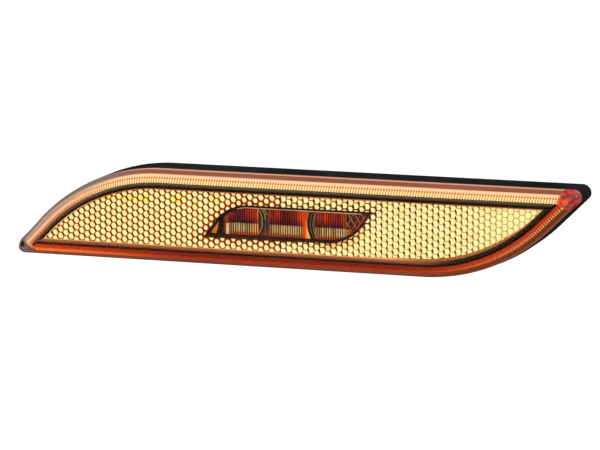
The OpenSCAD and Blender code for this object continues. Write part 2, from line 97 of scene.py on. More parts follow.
class Leaf:
    """A flat outline with two wide corners and two tips, the same after half a turn.
    Points are (across, up), as seen on the lamp's face."""

    def __init__(self, half, reach, corner, tip, rake, centre=Vector((0, 0))):
        self.half, self.reach, self.corner, self.tip, self.rake = half, reach, corner, tip, rake
        self.centre = centre
        self.rise = Vector((math.cos(rake), math.sin(rake)))
        self.out = Vector((math.sin(rake), -math.cos(rake)))
        slope = math.cos(rake)
        run = math.sin(rake)
        self.bend = Vector(((reach - corner - slope * (half - corner)) / run, corner - half))
        self.point = Vector(((reach - tip + slope * (half - tip)) / run, half - tip))
        self.flat = self.bend.x + self.point.x
        self.turn = corner * rake
        self.raked = (self.point - self.bend).dot(self.rise)
        self.length = self.flat + self.turn + self.raked

    @classmethod
    def of(cls, length, height, corner, tip, rake):
        reach = math.sin(rake) * (length / 2 - tip) - math.cos(rake) * (height / 2 - tip) + tip
        return cls(height / 2, reach, corner, tip, rake)

    def inset(self, d):
        tip = max(self.tip - d, LEAST_TIP)
        return Leaf(self.half - d, self.reach - d, self.corner - d, tip, self.rake, self.centre)

    def pulled(self, top, bottom, left, right):
        """The outline with its upper, lower, left and right edges moved in."""
        rise = (bottom - top) / 2
        shift = ((left - right) / 2 + math.cos(self.rake) * rise) / math.sin(self.rake)
        return Leaf(self.half - (top + bottom) / 2, self.reach - (left + right) / 2, self.corner,
                    self.tip, self.rake, self.centre + Vector((shift, rise)))

    def edge(self, run, upper, inset=0.0):
        """Point at a distance along one half, from the tip where its straight edge starts."""
        p, out = self.at(run)
        return self.centre + (-1 if upper else 1) * (p - inset * out)

    def at(self, run):
        """Point and outward direction at a distance along the lower half, from the left tip,
        with the middle of the outline at zero."""
        if run < self.flat:
            return Vector((run - self.point.x, -self.half)), Vector((0, -1))
        if run < self.flat + self.turn:
            angle = (run - self.flat) / self.corner - math.pi / 2
            out = Vector((math.cos(angle), math.sin(angle)))
            return self.bend + self.corner * out, out
        along = run - self.flat - self.turn
        return self.bend + self.corner * self.out + along * self.rise, self.out.copy()

    def lower_depth(self, p):
        """How far a point lies inside the lower half, and the way out of it."""
        q = p - self.bend
        below = self.half + p.y
        beside = self.reach - self.out.dot(p)
        depth, out = (below, Vector((0, -1))) if below < beside else (beside, self.out.copy())
        if q.x > 0 and q.dot(self.rise) < 0 and self.corner - q.length < depth:
            return self.corner - q.length, q.normalized()
        return depth, out

    def depth(self, p):
        """How far a point lies inside, negative outside, and the way out."""
        p = p - self.centre
        low, low_out = self.lower_depth(p)
        high, high_out = self.lower_depth(-p)
        return (low, low_out) if low < high else (high, -high_out)

    def run_of(self, p):
        """Distance along the half that a point is nearest to, and 1 for the upper half or -1."""
        p = p - self.centre
        side = -1 if self.lower_depth(p)[0] < self.lower_depth(-p)[0] else 1
        p = -side * p
        q = p - self.bend
        if q.x <= 0:
            return p.x + self.point.x, side
        if q.dot(self.rise) < 0:
            return self.flat + self.corner * math.atan2(q.x, -q.y), side
        return self.flat + self.turn + q.dot(self.rise), side


def keep_in(p, leaf, margin):
    """Moves a point in until it lies a margin inside a leaf."""
    for _ in range(3):
        depth, out = leaf.depth(p)
        if depth < margin:
            p = p - out * (margin - depth)
    return p


def place(p, height):
    """A point on the face and its height above the rear face, in the row frame."""
    return Vector((p.x, -height, p.y))


def face_point(co):
    return Vector((co.x, co.z))


def front_of(node):
    return -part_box(node)[0].y


def rear_of(node):
    return -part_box(node)[1].y


def half_height(node):
    low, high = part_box(node)
    return (high.z - low.z) / 2


# Settings


def length_setting(name, description, default):
    return FloatProperty(name=name, description=description, default=default, unit="LENGTH")


def colour_setting(name, description, *default):
    return FloatVectorProperty(
        name=name, description=description, default=linear(*default), subtype="COLOR",
        min=0, max=1)


class OutlineSizes(bpy.types.PropertyGroup):
    rake: FloatProperty(
        name="Rake", description="Slope of the raked edges",
        default=math.radians(45), subtype="ANGLE")
    corner: length_setting("Wide corners", "Radius of the wide corners", 64 * MM)
    tip: length_setting("Tips", "Radius of the tips", 2.75 * MM)
    plate_top: length_setting(
        "Plate top", "How much lower the reflector's upper edge lies than its solid's", 0.5 * MM)
    plate_bottom: length_setting(
        "Plate bottom", "How much lower the reflector's lower edge lies", 0.36 * MM)
    plate_left: length_setting(
        "Plate left", "How far the reflector's left rake lies inside its solid's", 0.132 * MM)
    plate_right: length_setting(
        "Plate right", "How far the reflector's right rake lies inside its solid's", 0.308 * MM)
    window_left: length_setting(
        "Window shift", "How far left the window's rim lies from its solid's", 0.42 * MM)
    window_drop: length_setting(
        "Window drop", "How much lower the window's rim lies than its solid's", 0.25 * MM)
    window_rake: FloatProperty(
        name="Window rake", description="Slope of the window's raked edges",
        default=math.radians(54), subtype="ANGLE")
    window_corner: length_setting("Window corners", "Radius of the window's wide corners", 16 * MM)


class CellSizes(bpy.types.PropertyGroup):
    pitch: length_setting("Pitch", "Distance between neighbouring prisms", 2.4 * MM)
    rise: length_setting("Rise", "Height of the prism row nearest the middle", 0.29 * MM)
    front: length_setting(
        "Depth", "Depth of the bright prism faces behind the smooth front", 0.28 * MM)
    height: length_setting("Relief", "Height of a bright prism face above the gaps", 0.45 * MM)
    # These prism colours are painted light: the pale middle and orange edge stand for the light
    # the prisms send back, and the gap colour for the shade between them
    bright: colour_setting("Bright", "Colour of a prism's middle", 255, 252, 210)
    edge: colour_setting("Edge", "Colour of a prism's edge", 226, 146, 58)
    gap: colour_setting("Gap", "Colour between the prisms", 92, 24, 0)


class GuideSizes(bpy.types.PropertyGroup):
    width: length_setting("Upper width", "Width of the upper guide", 3.28 * MM)
    lower_width: length_setting(
        "Lower width", "Width of the lower guide along its straight part", 2.65 * MM)
    widening: length_setting(
        "Widening", "How much wider the lower guide is along its raked part", 0.7 * MM)
    upper_outer: length_setting("Upper side", "Inset of the upper guide's outer side", 1.72 * MM)
    lower_outer: length_setting("Lower side", "Inset of the lower guide's outer side", 1.5 * MM)
    bezel: length_setting("Bezel", "Width of the bezel's solid wall beside a guide", 1.55 * MM)
    joint: length_setting("Ends", "Distance from the middle to a guide's straight end", 98.5 * MM)
    short: length_setting(
        "Raked ends", "How far a guide's raked end stops before the outline's tip", 2.0 * MM)
    depth: length_setting("Depth", "Depth of a tooth", 0.3 * MM)
    upper_pitch: length_setting(
        "Upper pitch", "Distance from one tooth of the upper guide to the next", 1.0 * MM)
    lower_pitch: length_setting(
        "Lower pitch", "Distance from one tooth of the lower guide to the next", 0.62 * MM)
    rib_pitch: length_setting(
        "Rib pitch", "Distance from one rib of the lower guide's rake to the next", 0.992 * MM)
    slant: FloatProperty(
        name="Slant", description="How far an upper tooth leans along the guide over its width",
        default=0.75, min=-2, max=2)
    # The upper guide's cream is partly painted light falling on it from above, and the lower
    # guide's darker red partly painted shade; the rest is their own amber and red-amber
    cream: colour_setting("Upper", "Colour of the upper guide", 255, 226, 178)
    red: colour_setting("Lower", "Colour of the lower guide", 206, 70, 34)


class LensSizes(bpy.types.PropertyGroup):
    # These shoulder colours are painted: the clear lens shows the guides and housing behind it,
    # and reflections in it
    mauve: colour_setting(
        "Upper shoulder", "Colour of the lens shoulder by the upper guide", 140, 86, 68)
    brown: colour_setting(
        "Lower shoulder", "Colour of the lens shoulder by the lower guide", 132, 72, 56)
    line: colour_setting("Foot", "Colour of the lit teeth at the lens foot", 214, 156, 124)


class StageSettings(bpy.types.PropertyGroup):
    floor: length_setting("Floor", "How far the floor lies below the lamp", 0.15)
    world: FloatProperty(
        name="World", description="Strength of the even light all round", default=0.75)
    key: FloatProperty(
        name="Key", description="Power of the large softbox", default=20, unit="POWER")
    fill: FloatProperty(
        name="Fill", description="Power of the small softbox", default=4, unit="POWER")


GROUPS = {
    "lamp_outline": OutlineSizes,
    "lamp_cells": CellSizes,
    "lamp_guides": GuideSizes,
    "lamp_lens": LensSizes,
    "lamp_stage": StageSettings,
}


def settings(name):
    return getattr(bpy.context.scene, "lamp_" + name)


def body_leaf():
    o = settings("outline")
    low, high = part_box("rear_housing")
    return Leaf.of(high.x - low.x, high.z - low.z, o.corner, o.tip, o.rake)


def plate_leaf():
    """The reflector's outline as it looks through the lens."""
    o = settings("outline")
    solid = body_leaf().inset(inset_of("reflex_reflector"))
    return solid.pulled(o.plate_top, -o.plate_bottom, o.plate_left, o.plate_right)


def window_leaf():
    """The window's outline as it looks through the lens."""
    o = settings("outline")
    low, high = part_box("reflector_bank")
    leaf = Leaf.of(high.x - low.x, high.z - low.z, o.window_corner, LEAST_TIP, o.window_rake)
    leaf.centre = Vector((-o.window_left, -o.window_drop))
    return leaf


def inset_of(node):
    """How far a node's outline lies inside the housing's."""
    low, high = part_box(node)
    return half_height("rear_housing") - max(high.z, -low.z)


def guide_span(body, run, upper):
    """How far a guide's outer and inner side lie inside the housing's outline."""
    g = settings("guides")
    if upper:
        return g.upper_outer, g.upper_outer + g.width
    more = smooth(body.flat, body.flat + body.turn, run) * g.widening
    return g.lower_outer, g.lower_outer + g.lower_width + more


# Meshes


def cut_off(bm, co, out):
    """Cuts away what lies past a plane."""
    bmesh.ops.bisect_plane(
        bm, geom=bm.verts[:] + bm.edges[:] + bm.faces[:], dist=TOUCHING,
        plane_co=co, plane_no=out, clear_outer=True)


def piece(name, bm, material, node=None, angle=35):
    """Turns a bmesh into a piece of the lamp, smooth up to an angle between faces."""
    mesh = bpy.data.meshes.new(name)
    bm.normal_update()
    bm.to_mesh(mesh)
    bm.free()
    mesh.materials.append(material)
    mesh.shade_smooth()
    mesh.set_sharp_from_angle(angle=math.radians(angle))
    obj = bpy.data.objects.new(name, mesh)
    bpy.context.scene.collection.objects.link(obj)
    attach(obj, "root")
    if node:
        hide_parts(node)
    return obj


def merged(node):
    """A bmesh of a solid with its loose triangles joined."""
    bm = bmesh.new()
    bm.from_mesh(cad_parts[node].data)
    bmesh.ops.remove_doubles(bm, verts=bm.verts, dist=MERGED)
    bmesh.ops.dissolve_degenerate(bm, edges=bm.edges, dist=TOUCHING)
    return bm


def copied(node):
    """A bmesh of a solid with its loose triangles joined and its flat faces made whole."""
    bm = merged(node)
    bmesh.ops.dissolve_limit(
        bm, angle_limit=math.radians(0.5), verts=bm.verts, edges=bm.edges,
        use_dissolve_boundaries=False, delimit=set())
    return bm


def round_edges(obj, width, segments, harden=False):
    """Rounds a piece's sharp edges."""
    bevel = obj.modifiers.new("Rounded edges", "BEVEL")
    bevel.width = width
    bevel.segments = segments
    bevel.limit_method = "ANGLE"
    bevel.angle_limit = BEVEL_ANGLE
    bevel.harden_normals = harden


def softened(node, name, material, width):
    """A piece that stands for a rigid solid, with its sharp edges rounded."""
    obj = piece(name, copied(node), material, node)
    round_edges(obj, width, 2, harden=True)
    return obj


def swept(leaf, upper, start, end, step, section):
    """A closed bar along one half of a leaf. section(run) gives its loop of (inset, height)."""
    count = max(1, round((end - start) / step))
    ring = len(section(start))
    bm = bmesh.new()
    bmesh.ops.create_grid(bm, x_segments=count, y_segments=ring, size=0.5)
    for v in bm.verts:
        i = round((v.co.x + 0.5) * count)
        j = round((v.co.y + 0.5) * ring) % ring
        run = start + (end - start) * i / count
        inset, height = section(run)[j]
        v.co = place(leaf.edge(run, upper, inset), height)
    bmesh.ops.remove_doubles(bm, verts=bm.verts, dist=TOUCHING)
    bmesh.ops.holes_fill(bm, edges=bm.edges, sides=ring)
    bmesh.ops.recalc_face_normals(bm, faces=bm.faces)
    return bm


def mark(bm, name, value):
    """Stores a number at each corner point of a mesh, for its material to read."""
    layer = bm.verts.layers.float.new(name)
    for v in bm.verts:
        v[layer] = value(v.co)


def mark_half(bm, body):
    """Stores 1 on the lamp's upper half and 0 on the lower."""
    mark(bm, "half", lambda co: 1.0 if body.run_of(face_point(co))[1] > 0 else 0.0)


# Materials

# Where looks change along the lamp, in mm across. Each change starts at the first place and is
# complete at the second
BEZEL_BLACK = (42, 64)
GOLD_PRISMS = (-16, -24)
GUIDE_CREAM = (-90, -60)
GUIDE_BODY = (-92, -36)
GUIDE_RAKED = (40, 72)
GUIDE_FAINT_TEETH = (20, 70)
GUIDE_RIBS = (62, 92)
SHOULDER_RAKED = (-52, -72)
SHOULDER_STRIPED = (44, 70)
SHOULDER_LATE = (-50, -82)
# Rows of prisms, in mm up, in which some are gold: from where they start and to where they end
GOLD_FOOT, GOLD_TOP = (4.2, 5.2), (8.2, 7.4)
# How much narrower a slanted prism's edge is at its top and other walls than at its side walls,
# and how much wider every edge is by the window, in mm
RIM_STEP = 0.12
RIM_MORE = 0.22


def add(tree, kind, inputs=None, **facts):
    """Adds a shader node. An input given as a socket is linked, and as a value is set."""
    made = tree.nodes.new("ShaderNode" + kind)
    for key, value in facts.items():
        setattr(made, key, value)
    for key, value in (inputs or {}).items():
        feed(tree, made.inputs[key], value)
    return made


def feed(tree, socket, value):
    """Links a socket to an input, or sets its value. A colour gets its alpha here."""
    if isinstance(value, bpy.types.NodeSocket):
        tree.links.new(value, socket)
    elif socket.type == "RGBA":
        socket.default_value = (*value, 1.0)
    else:
        socket.default_value = value


def colour_mix(tree, factor, a, b):
    """A colour between a and b."""
    mix = tree.nodes.new("ShaderNodeMix")
    mix.data_type = "RGBA"
    for socket, value in ((0, factor), (6, a), (7, b)):
        feed(tree, mix.inputs[socket], value)
    return mix.outputs[2]


def math_node(tree, kind, a, b=0.0, clamp=False):
    return add(tree, "Math", {0: a, 1: b}, operation=kind, use_clamp=clamp).outputs[0]


def plus(tree, a, b):
    return math_node(tree, "ADD", a, b)


def minus(tree, a, b):
    return math_node(tree, "SUBTRACT", a, b)


def times(tree, a, b):
    return math_node(tree, "MULTIPLY", a, b)


def largest(tree, a, b):
    return math_node(tree, "MAXIMUM", a, b)


def vector_node(tree, kind, a, b):
    made = add(tree, "VectorMath", {0: a, 1: b}, operation=kind)
    return made.outputs["Value" if kind in ("DOT_PRODUCT", "DISTANCE") else "Vector"]


def noise(tree, coords, scale, detail=2.0):
    return add(tree, "TexNoise", {"Vector": coords, "Scale": scale, "Detail": detail}).outputs[0]


def patches(tree, coords, scale):
    """A chance value for each patch of a broken pattern."""
    broken = add(tree, "TexVoronoi", {"Vector": coords, "Scale": scale})
    return add(tree, "SeparateColor", {0: broken.outputs["Color"]}).outputs[0]


def spread(tree, value, low, high, to_low=0.0, to_high=1.0, kind="SMOOTHSTEP"):
    """A value from one range laid over another, and held at its ends."""
    return add(
        tree, "MapRange",
        {"Value": value, "From Min": low, "From Max": high, "To Min": to_low, "To Max": to_high},
        interpolation_type=kind).outputs[0]


def between(tree, axis, start, end, *levels):
    """0 before one place along an axis and 1 past another, or other levels. Places in mm."""
    return spread(tree, axis, start * MM, end * MM, *levels)


def ramp(tree, value, stops):
    """Colours along a value. A stop is a place and then three screen values or a set colour."""
    made = add(tree, "ValToRGB", {0: value})
    elements = made.color_ramp.elements
    while len(elements) < len(stops):
        elements.new(0.5)
    for element, (spot, *colour) in zip(elements, stops):
        element.position = spot
        element.color = (*(linear(*colour) if len(colour) == 3 else colour[0]), 1.0)
    return made.outputs[0]


def stored(tree, name):
    return add(tree, "Attribute", attribute_name=name).outputs["Fac"]


def object_axes(tree):
    coords = add(tree, "TexCoord").outputs["Object"]
    return coords, add(tree, "SeparateXYZ", {0: coords}).outputs


def new_material(name):
    material = bpy.data.materials.new(name)
    material.use_nodes = True
    material.node_tree.nodes.clear()
    return material, material.node_tree


def finished(material, shader):
    tree = material.node_tree
    out = tree.nodes.new("ShaderNodeOutputMaterial")
    tree.links.new(shader, out.inputs[0])
    return material


def surfaced(material, tone, roughness, specular):
    """Finishes a material as a surface in a tone, with a weak gloss."""
    surface = add(material.node_tree, "BsdfPrincipled", {
        "Base Color": tone, "Roughness": roughness, "Specular IOR Level": specular})
    return finished(material, surface.outputs[0])


def new_group(name, inputs, outputs):
    """An empty shader node group. Its sockets are plain numbers, and inputs have defaults."""
    group = bpy.data.node_groups.new(name, "ShaderNodeTree")
    for title, default in inputs.items():
        socket = group.interface.new_socket(
            title, in_out="INPUT", socket_type="NodeSocketFloat")
        socket.default_value = default
    for title in outputs:
        group.interface.new_socket(title, in_out="OUTPUT", socket_type="NodeSocketFloat")
    return group


def placed(tree, group, values):
    """Puts a node group in a tree, with its inputs linked or set."""
    made = tree.nodes.new("ShaderNodeGroup")
    made.node_tree = group
    for name, value in values.items():
        feed(tree, made.inputs[name], value)
    return made.outputs


def grain_group():
    """Fine moulded grain: a mottled mask, a height for bump and a little haze in the gloss."""
    name = "Moulded grain"
    if name in bpy.data.node_groups:
        return bpy.data.node_groups[name]
    group = new_group(
        name, {"Scale": 900.0, "Roughness": 0.4, "Haze": 0.1}, ("Mottle", "Height", "Roughness"))
    given = group.nodes.new("NodeGroupInput").outputs
    out = group.nodes.new("NodeGroupOutput").inputs
    coords = add(group, "TexCoord").outputs["Object"]
    fine = noise(group, coords, given["Scale"], detail=4.0)
    wide = noise(group, coords, scale=60.0, detail=3.0)
    haze = times(group, minus(group, wide, 0.5), given["Haze"])
    rough = math_node(group, "ADD", given["Roughness"], haze, clamp=True)
    group.links.new(times(group, fine, wide), out["Mottle"])
    group.links.new(fine, out["Height"])
    group.links.new(rough, out["Roughness"])
    return group


def grained(tree, scale, roughness, haze):
    return placed(tree, grain_group(), {"Scale": scale, "Roughness": roughness, "Haze": haze})


def solid_material(name, dark, light, roughness, scale=900.0, haze=0.12, bump=0.1,
                   metallic=0.0, specular=0.5, coat=0.0):
    """A moulded or metal surface: two close tones in a fine grain, with bump and haze."""
    material, tree = new_material(name)
    grain = grained(tree, scale, roughness, haze)
    mottle = spread(tree, grain["Mottle"], 0.12, 0.4)
    tone = colour_mix(tree, mottle, linear(*dark), linear(*light))
    relief = add(tree, "Bump", {
        "Height": grain["Height"], "Strength": bump, "Distance": BUMP_DEPTH})
    surface = add(tree, "BsdfPrincipled", {
        "Base Color": tone, "Roughness": grain["Roughness"], "Normal": relief.outputs[0],
        "Metallic": metallic, "Specular IOR Level": specular, "Coat Weight": coat,
        "Coat Roughness": 0.08})
    return finished(material, surface.outputs[0])


def stripe_group():
    """Slanted stripes along a guide, from where a point lies along and across it."""
    name = "Guide stripes"
    if name in bpy.data.node_groups:
        return bpy.data.node_groups[name]
    group = new_group(
        name, {"Along": 0.0, "Across": 0.0, "Pitch": 1.0, "Slant": 0.0}, ("Stripe",))
    given = group.nodes.new("NodeGroupInput").outputs
    out = group.nodes.new("NodeGroupOutput").inputs
    lean = times(group, given["Across"], given["Slant"])
    phase = math_node(group, "DIVIDE", plus(group, given["Along"], lean), given["Pitch"])
    wave = math_node(group, "SINE", times(group, phase, 2 * math.pi))
    group.links.new(spread(group, wave, -0.55, 0.45), out["Stripe"])
    return group


def stripes(tree, along, across, pitch, slant):
    return placed(tree, stripe_group(), {
        "Along": along, "Across": across, "Pitch": pitch, "Slant": slant})["Stripe"]


def housing_material():
    return solid_material(
        "Housing plastic", (24, 24, 25), (40, 39, 40), 0.6, 1400.0, 0.18, 0.25, specular=0.0)


def bezel_material():
    """Black moulding in painted light and shade: a lit grey upper shoulder by the guide over shade
    by the reflector, and on its lower side the warm light of the guides as a painted brown
    reflection.
    """
    material, tree = new_material("Bezel plastic")
    grain = grained(tree, scale=1100.0, roughness=0.3, haze=0.1)
    across = stored(tree, "across")
    _, axes = object_axes(tree)
    # Upper half: painted light on the shoulder by the guide, painted shade towards the reflector
    upper = ramp(tree, across, [
        (0.0, 100, 90, 68), (0.28, 72, 64, 50), (0.44, 42, 34, 26), (0.56, 20, 11, 6),
        (0.9, 36, 13, 3), (1.0, 60, 24, 8)])
    # Lower half: painted shade by the guide, and a painted warm reflection towards the reflector
    lower = ramp(tree, across, [
        (0.0, 48, 20, 12), (0.3, 70, 34, 22), (0.5, 112, 64, 44), (0.8, 150, 84, 54),
        (1.0, 176, 108, 66)])
    # Along the right the lower half keeps no painted reflection and stays black
    black = colour_mix(tree, across, linear(24, 13, 9), linear(44, 38, 30))
    lower = colour_mix(tree, between(tree, axes["X"], *BEZEL_BLACK), lower, black)
    tone = colour_mix(tree, stored(tree, "half"), lower, upper)
    worn = spread(tree, grain["Mottle"], 0.1, 0.4, 0.1, 0.0)
    tone = colour_mix(tree, worn, tone, linear(12, 8, 5))
    return surfaced(material, tone, grain["Roughness"], specular=0.03)


def cell_wall(tree, spot, angle):
    """How far a point lies from a prism's middle towards two opposite walls, in mm."""
    way = (math.cos(math.radians(angle)), math.sin(math.radians(angle)), 0.0)
    return math_node(tree, "ABSOLUTE", vector_node(tree, "DOT_PRODUCT", spot, way))


def cell_glow(tree, cells, light):
    """A prism's bright tone, warmer where it is lit and yellow in a few of the upper ones."""
    coords, axes = object_axes(tree)
    mottle = spread(tree, noise(tree, coords, scale=1500.0), 0.35, 0.65, 0.0, 0.3)
    glow = colour_mix(tree, mottle, tuple(cells.bright), linear(255, 236, 150))
    glow = colour_mix(tree, times(tree, light, 0.5), glow, linear(240, 176, 80))
    rows = times(
        tree, between(tree, axes["Z"], *GOLD_FOOT), between(tree, axes["Z"], *GOLD_TOP))
    rows = times(tree, rows, between(tree, axes["X"], *GOLD_PRISMS))
    chance = spread(tree, noise(tree, coords, scale=260.0), 0.48, 0.58, 0.0, 0.55)
    gold = times(tree, rows, chance)
    return colour_mix(tree, gold, glow, linear(246, 240, 24))


def slanted_cells(tree, cells, glow, near, rim, thin, side):
    """Prisms of the left half: slanted, with orange edges and dark gaps on two sides; the bright
    face and orange edges are painted light, the dark gaps painted shade.
    """
    reach = cells.pitch / 2 / MM
    edge = colour_mix(tree, near, tuple(cells.edge), linear(190, 64, 20))
    slanted = largest(tree, minus(tree, rim, RIM_STEP), side)
    tone = colour_mix(tree, spread(tree, slanted, reach - 0.5, reach - 0.26), glow, edge)
    line = spread(tree, thin, reach - 0.15, reach - 0.03)
    tone = colour_mix(tree, line, tone, linear(140, 54, 16))
    gap = spread(tree, side, reach - 0.44, reach - 0.27)
    return colour_mix(tree, gap, tone, tuple(cells.gap))


def upright_cells(tree, cells, glow, near, rim, spot, sliver):
    """Prisms of the right half: bright to the edge in painted light, with a dark sliver of painted
    shade at the left corner.
    """
    reach = cells.pitch / 2 / MM
    edge = colour_mix(tree, near, linear(196, 150, 70), linear(140, 62, 20))
    tone = colour_mix(tree, spread(tree, rim, reach - 0.16, reach - 0.01), glow, edge)
    corner = vector_node(tree, "ADD", spot, (1.1, -0.1, 0.0))
    across = vector_node(tree, "DOT_PRODUCT", corner, (2.3, 0.55, 0.0))
    up = vector_node(tree, "DOT_PRODUCT", spot, (0.0, 1.05, 0.0))
    away = math_node(tree, "SQRT", plus(tree, times(tree, across, across), times(tree, up, up)))
    dark = times(tree, spread(tree, away, 1.3, 1.1), sliver)
    return colour_mix(tree, dark, tone, linear(46, 10, 0))


def cell_material():
    """Amber prisms that send light back, that light painted into their colour: pale in the middle,
    with orange edges and dark edges of painted shade.
    """
    cells = settings("cells")
    material, tree = new_material("Reflex prisms")
    spot = add(tree, "Attribute", attribute_name="spot").outputs["Vector"]
    kind = add(tree, "Attribute", attribute_name="kind")
    upright, sliver, light = add(tree, "SeparateColor", {0: kind.outputs["Color"]}).outputs
    near = kind.outputs["Alpha"]
    side, top, other = (cell_wall(tree, spot, angle) for angle in (30, 90, 150))
    thin = largest(tree, top, other)
    # The edges are wider by the window
    rim = plus(tree, largest(tree, thin, side), times(tree, near, RIM_MORE))
    glow = cell_glow(tree, cells, light)
    left = slanted_cells(tree, cells, glow, near, rim, thin, side)
    right = upright_cells(tree, cells, glow, near, rim, spot, sliver)
    tone = colour_mix(tree, upright, left, right)
    return surfaced(material, tone, roughness=0.4, specular=0.03)


def clear_shader(tree, tint):
    """What lies behind shows through, and the gloss on the outer side grows at the rim."""
    fresnel = add(tree, "Fresnel", {"IOR": CLEAR_IOR}).outputs[0]
    outer = minus(tree, 1.0, add(tree, "NewGeometry").outputs["Backfacing"])
    through = add(tree, "BsdfTransparent", {"Color": tint}).outputs[0]
    gloss = add(tree, "BsdfPrincipled", {
        "Base Color": (0.8, 0.8, 0.8), "Metallic": 1.0, "Roughness": 0.03}).outputs[0]
    mix = add(tree, "MixShader", {0: times(tree, fresnel, outer), 1: through, 2: gloss})
    return mix.outputs[0]


def clear_material(name, tint):
    material, tree = new_material(name)
    return finished(material, clear_shader(tree, tint))


def upper_guide_material():
    """Cream guide: two rows of slanted strokes with a darker line between them, in painted light
    and shade: lit crests, shaded hollows and a shaded groove between the rows.
    """
    sizes = settings("guides")
    material, tree = new_material("Upper guide")
    across, along = stored(tree, "across"), stored(tree, "along")
    _, axes = object_axes(tree)
    stroke = stripes(tree, along, across, sizes.upper_pitch / MM, sizes.slant)
    # Tooth crests in painted light, with painted shade in the groove between the rows and at the
    # sides
    peak = ramp(tree, across, [
        (0.0, 220, 170, 132), (0.1, sizes.cream), (0.32, 250, 212, 164), (0.42, 226, 172, 132),
        (0.52, 252, 218, 164), (0.9, 255, 240, 188), (1.0, 214, 172, 118)])
    # Tooth hollows in painted shade
    dip = ramp(tree, across, [
        (0.0, 198, 144, 110), (0.1, 240, 192, 146), (0.32, 212, 152, 112), (0.42, 182, 112, 84),
        (0.52, 206, 150, 100), (0.9, 206, 158, 98), (1.0, 150, 112, 70)])
    # The left rake is pinker, and its strokes are fainter; the bright band across its middle is a
    # painted highlight
    pink = ramp(tree, across, [
        (0.0, 150, 126, 114), (0.16, 162, 134, 120), (0.3, 194, 160, 138), (0.39, 230, 194, 164),
        (0.47, 248, 212, 176), (0.56, 236, 186, 146), (0.66, 218, 146, 110), (0.78, 200, 122, 92),
        (1.0, 146, 94, 76)])
    dim = times(tree, spread(tree, stroke, 0.0, 1.0, 0.45, 0.0), spread(tree, across, 0.3, 0.5))
    pink = colour_mix(tree, dim, pink, linear(182, 84, 62))
    cream = colour_mix(tree, stroke, dip, peak)
    tone = colour_mix(tree, between(tree, axes["X"], *GUIDE_CREAM), pink, cream)
    return surfaced(material, tone, roughness=0.3, specular=0.04)


def lower_guide_material():
    """Red-orange guide: fine dark teeth on its inner side, and ribs along the right rake. The
    teeth are painted shade in their hollows, the ribs painted lit and shaded stripes, and the pale
    band along the rake a painted highlight.
    """
    sizes = settings("guides")
    material, tree = new_material("Lower guide")
    across, along = stored(tree, "across"), stored(tree, "along")
    _, axes = object_axes(tree)
    ember = ramp(tree, across, [
        (0.0, 214, 146, 76), (0.22, 240, 122, 50), (0.5, 222, 80, 32), (0.85, 206, 62, 26),
        (1.0, 150, 60, 34)])
    body = ramp(tree, across, [
        (0.0, 150, 64, 42), (0.2, 158, 60, 34), (0.38, 160, 50, 22), (0.65, 144, 42, 16),
        (0.85, 134, 50, 26), (1.0, 100, 46, 34)])
    # Along the rake the pale band a third of the way across is a painted highlight
    raked = ramp(tree, across, [
        (0.0, 136, 66, 40), (0.16, 126, 54, 22), (0.26, 140, 66, 34), (0.34, 206, 120, 72),
        (0.42, 196, 98, 54), (0.5, sizes.red), (0.85, 186, 56, 24), (1.0, 120, 36, 18)])
    tone = colour_mix(tree, between(tree, axes["X"], *GUIDE_BODY), ember, body)
    tone = colour_mix(tree, between(tree, axes["X"], *GUIDE_RAKED), tone, raked)
    # Dark teeth: painted shade in the teeth's hollows
    stroke = stripes(tree, along, across, sizes.lower_pitch / MM, 0.0)
    teeth = times(tree, spread(tree, across, 0.42, 0.62), minus(tree, 1.0, stroke))
    teeth = times(tree, teeth, between(tree, axes["X"], *GUIDE_FAINT_TEETH, 0.6, 0.2))
    tone = colour_mix(tree, teeth, tone, linear(80, 24, 14))
    # Ribs on the right rake, painted as lit and shaded stripes
    band = times(tree, spread(tree, across, 0.18, 0.28), spread(tree, across, 0.62, 0.5))
    band = times(tree, band, between(tree, axes["X"], *GUIDE_RIBS))
    rib = stripes(tree, along, across, sizes.rib_pitch / MM, 0.0)
    ribbed = colour_mix(tree, rib, linear(140, 60, 28), linear(236, 164, 104))
    tone = colour_mix(tree, band, tone, ribbed)
    return surfaced(material, tone, roughness=0.3, specular=0.04)


# The pale spots below are painted highlights of the tip blocks' facets
# Spots seen in the lens at its tips: place in mm across, up and above the rear face, radius, and
# screen colour
RIGHT_SPOTS = (
    (101.7, 16.6, 15.1, 1.7, (180, 58, 66)), (103.9, 16.4, 13.8, 1.6, (150, 112, 136)),
    (105.2, 14.7, 14.9, 1.2, (128, 88, 104)), (103.2, 15.2, 18.3, 1.4, (112, 66, 84)),
    (104.6, 15.3, 16.7, 0.6, (190, 146, 82)), (100.9, 13.2, 18.9, 1.3, (236, 98, 48)),
    (104.0, 13.2, 17.5, 1.1, (226, 72, 34)), (102.5, 12.9, 18.7, 0.45, (104, 30, 18)),
    (99.6, 15.6, 17.6, 0.9, (150, 84, 86)), (99.2, 14.0, 18.8, 0.8, (206, 96, 78)),
    (98.9, 11.4, 18.7, 0.6, (84, 36, 24)), (100.0, 11.0, 18.6, 0.6, (250, 196, 140)),
    (102.6, 11.0, 17.8, 0.5, (240, 176, 120)),
)
LEFT_SPOTS = ((-101.7, -12.7, 18.9, 1.6, (10, 8, 7)),)
# Dark arcs seen in the lens at its right tip: middle, radius and colour in the same way
RIGHT_ARCS = ((100.9, 13.2, 18.9, 1.75, (120, 34, 26)), (103.2, 12.2, 18.3, 1.5, (126, 36, 34)))


def away_from(tree, coords, across, up, height):
    """Distance from a place given in mm."""
    middle = place(Vector((across, up)) * MM, height * MM)
    return vector_node(tree, "DISTANCE", coords, tuple(middle))


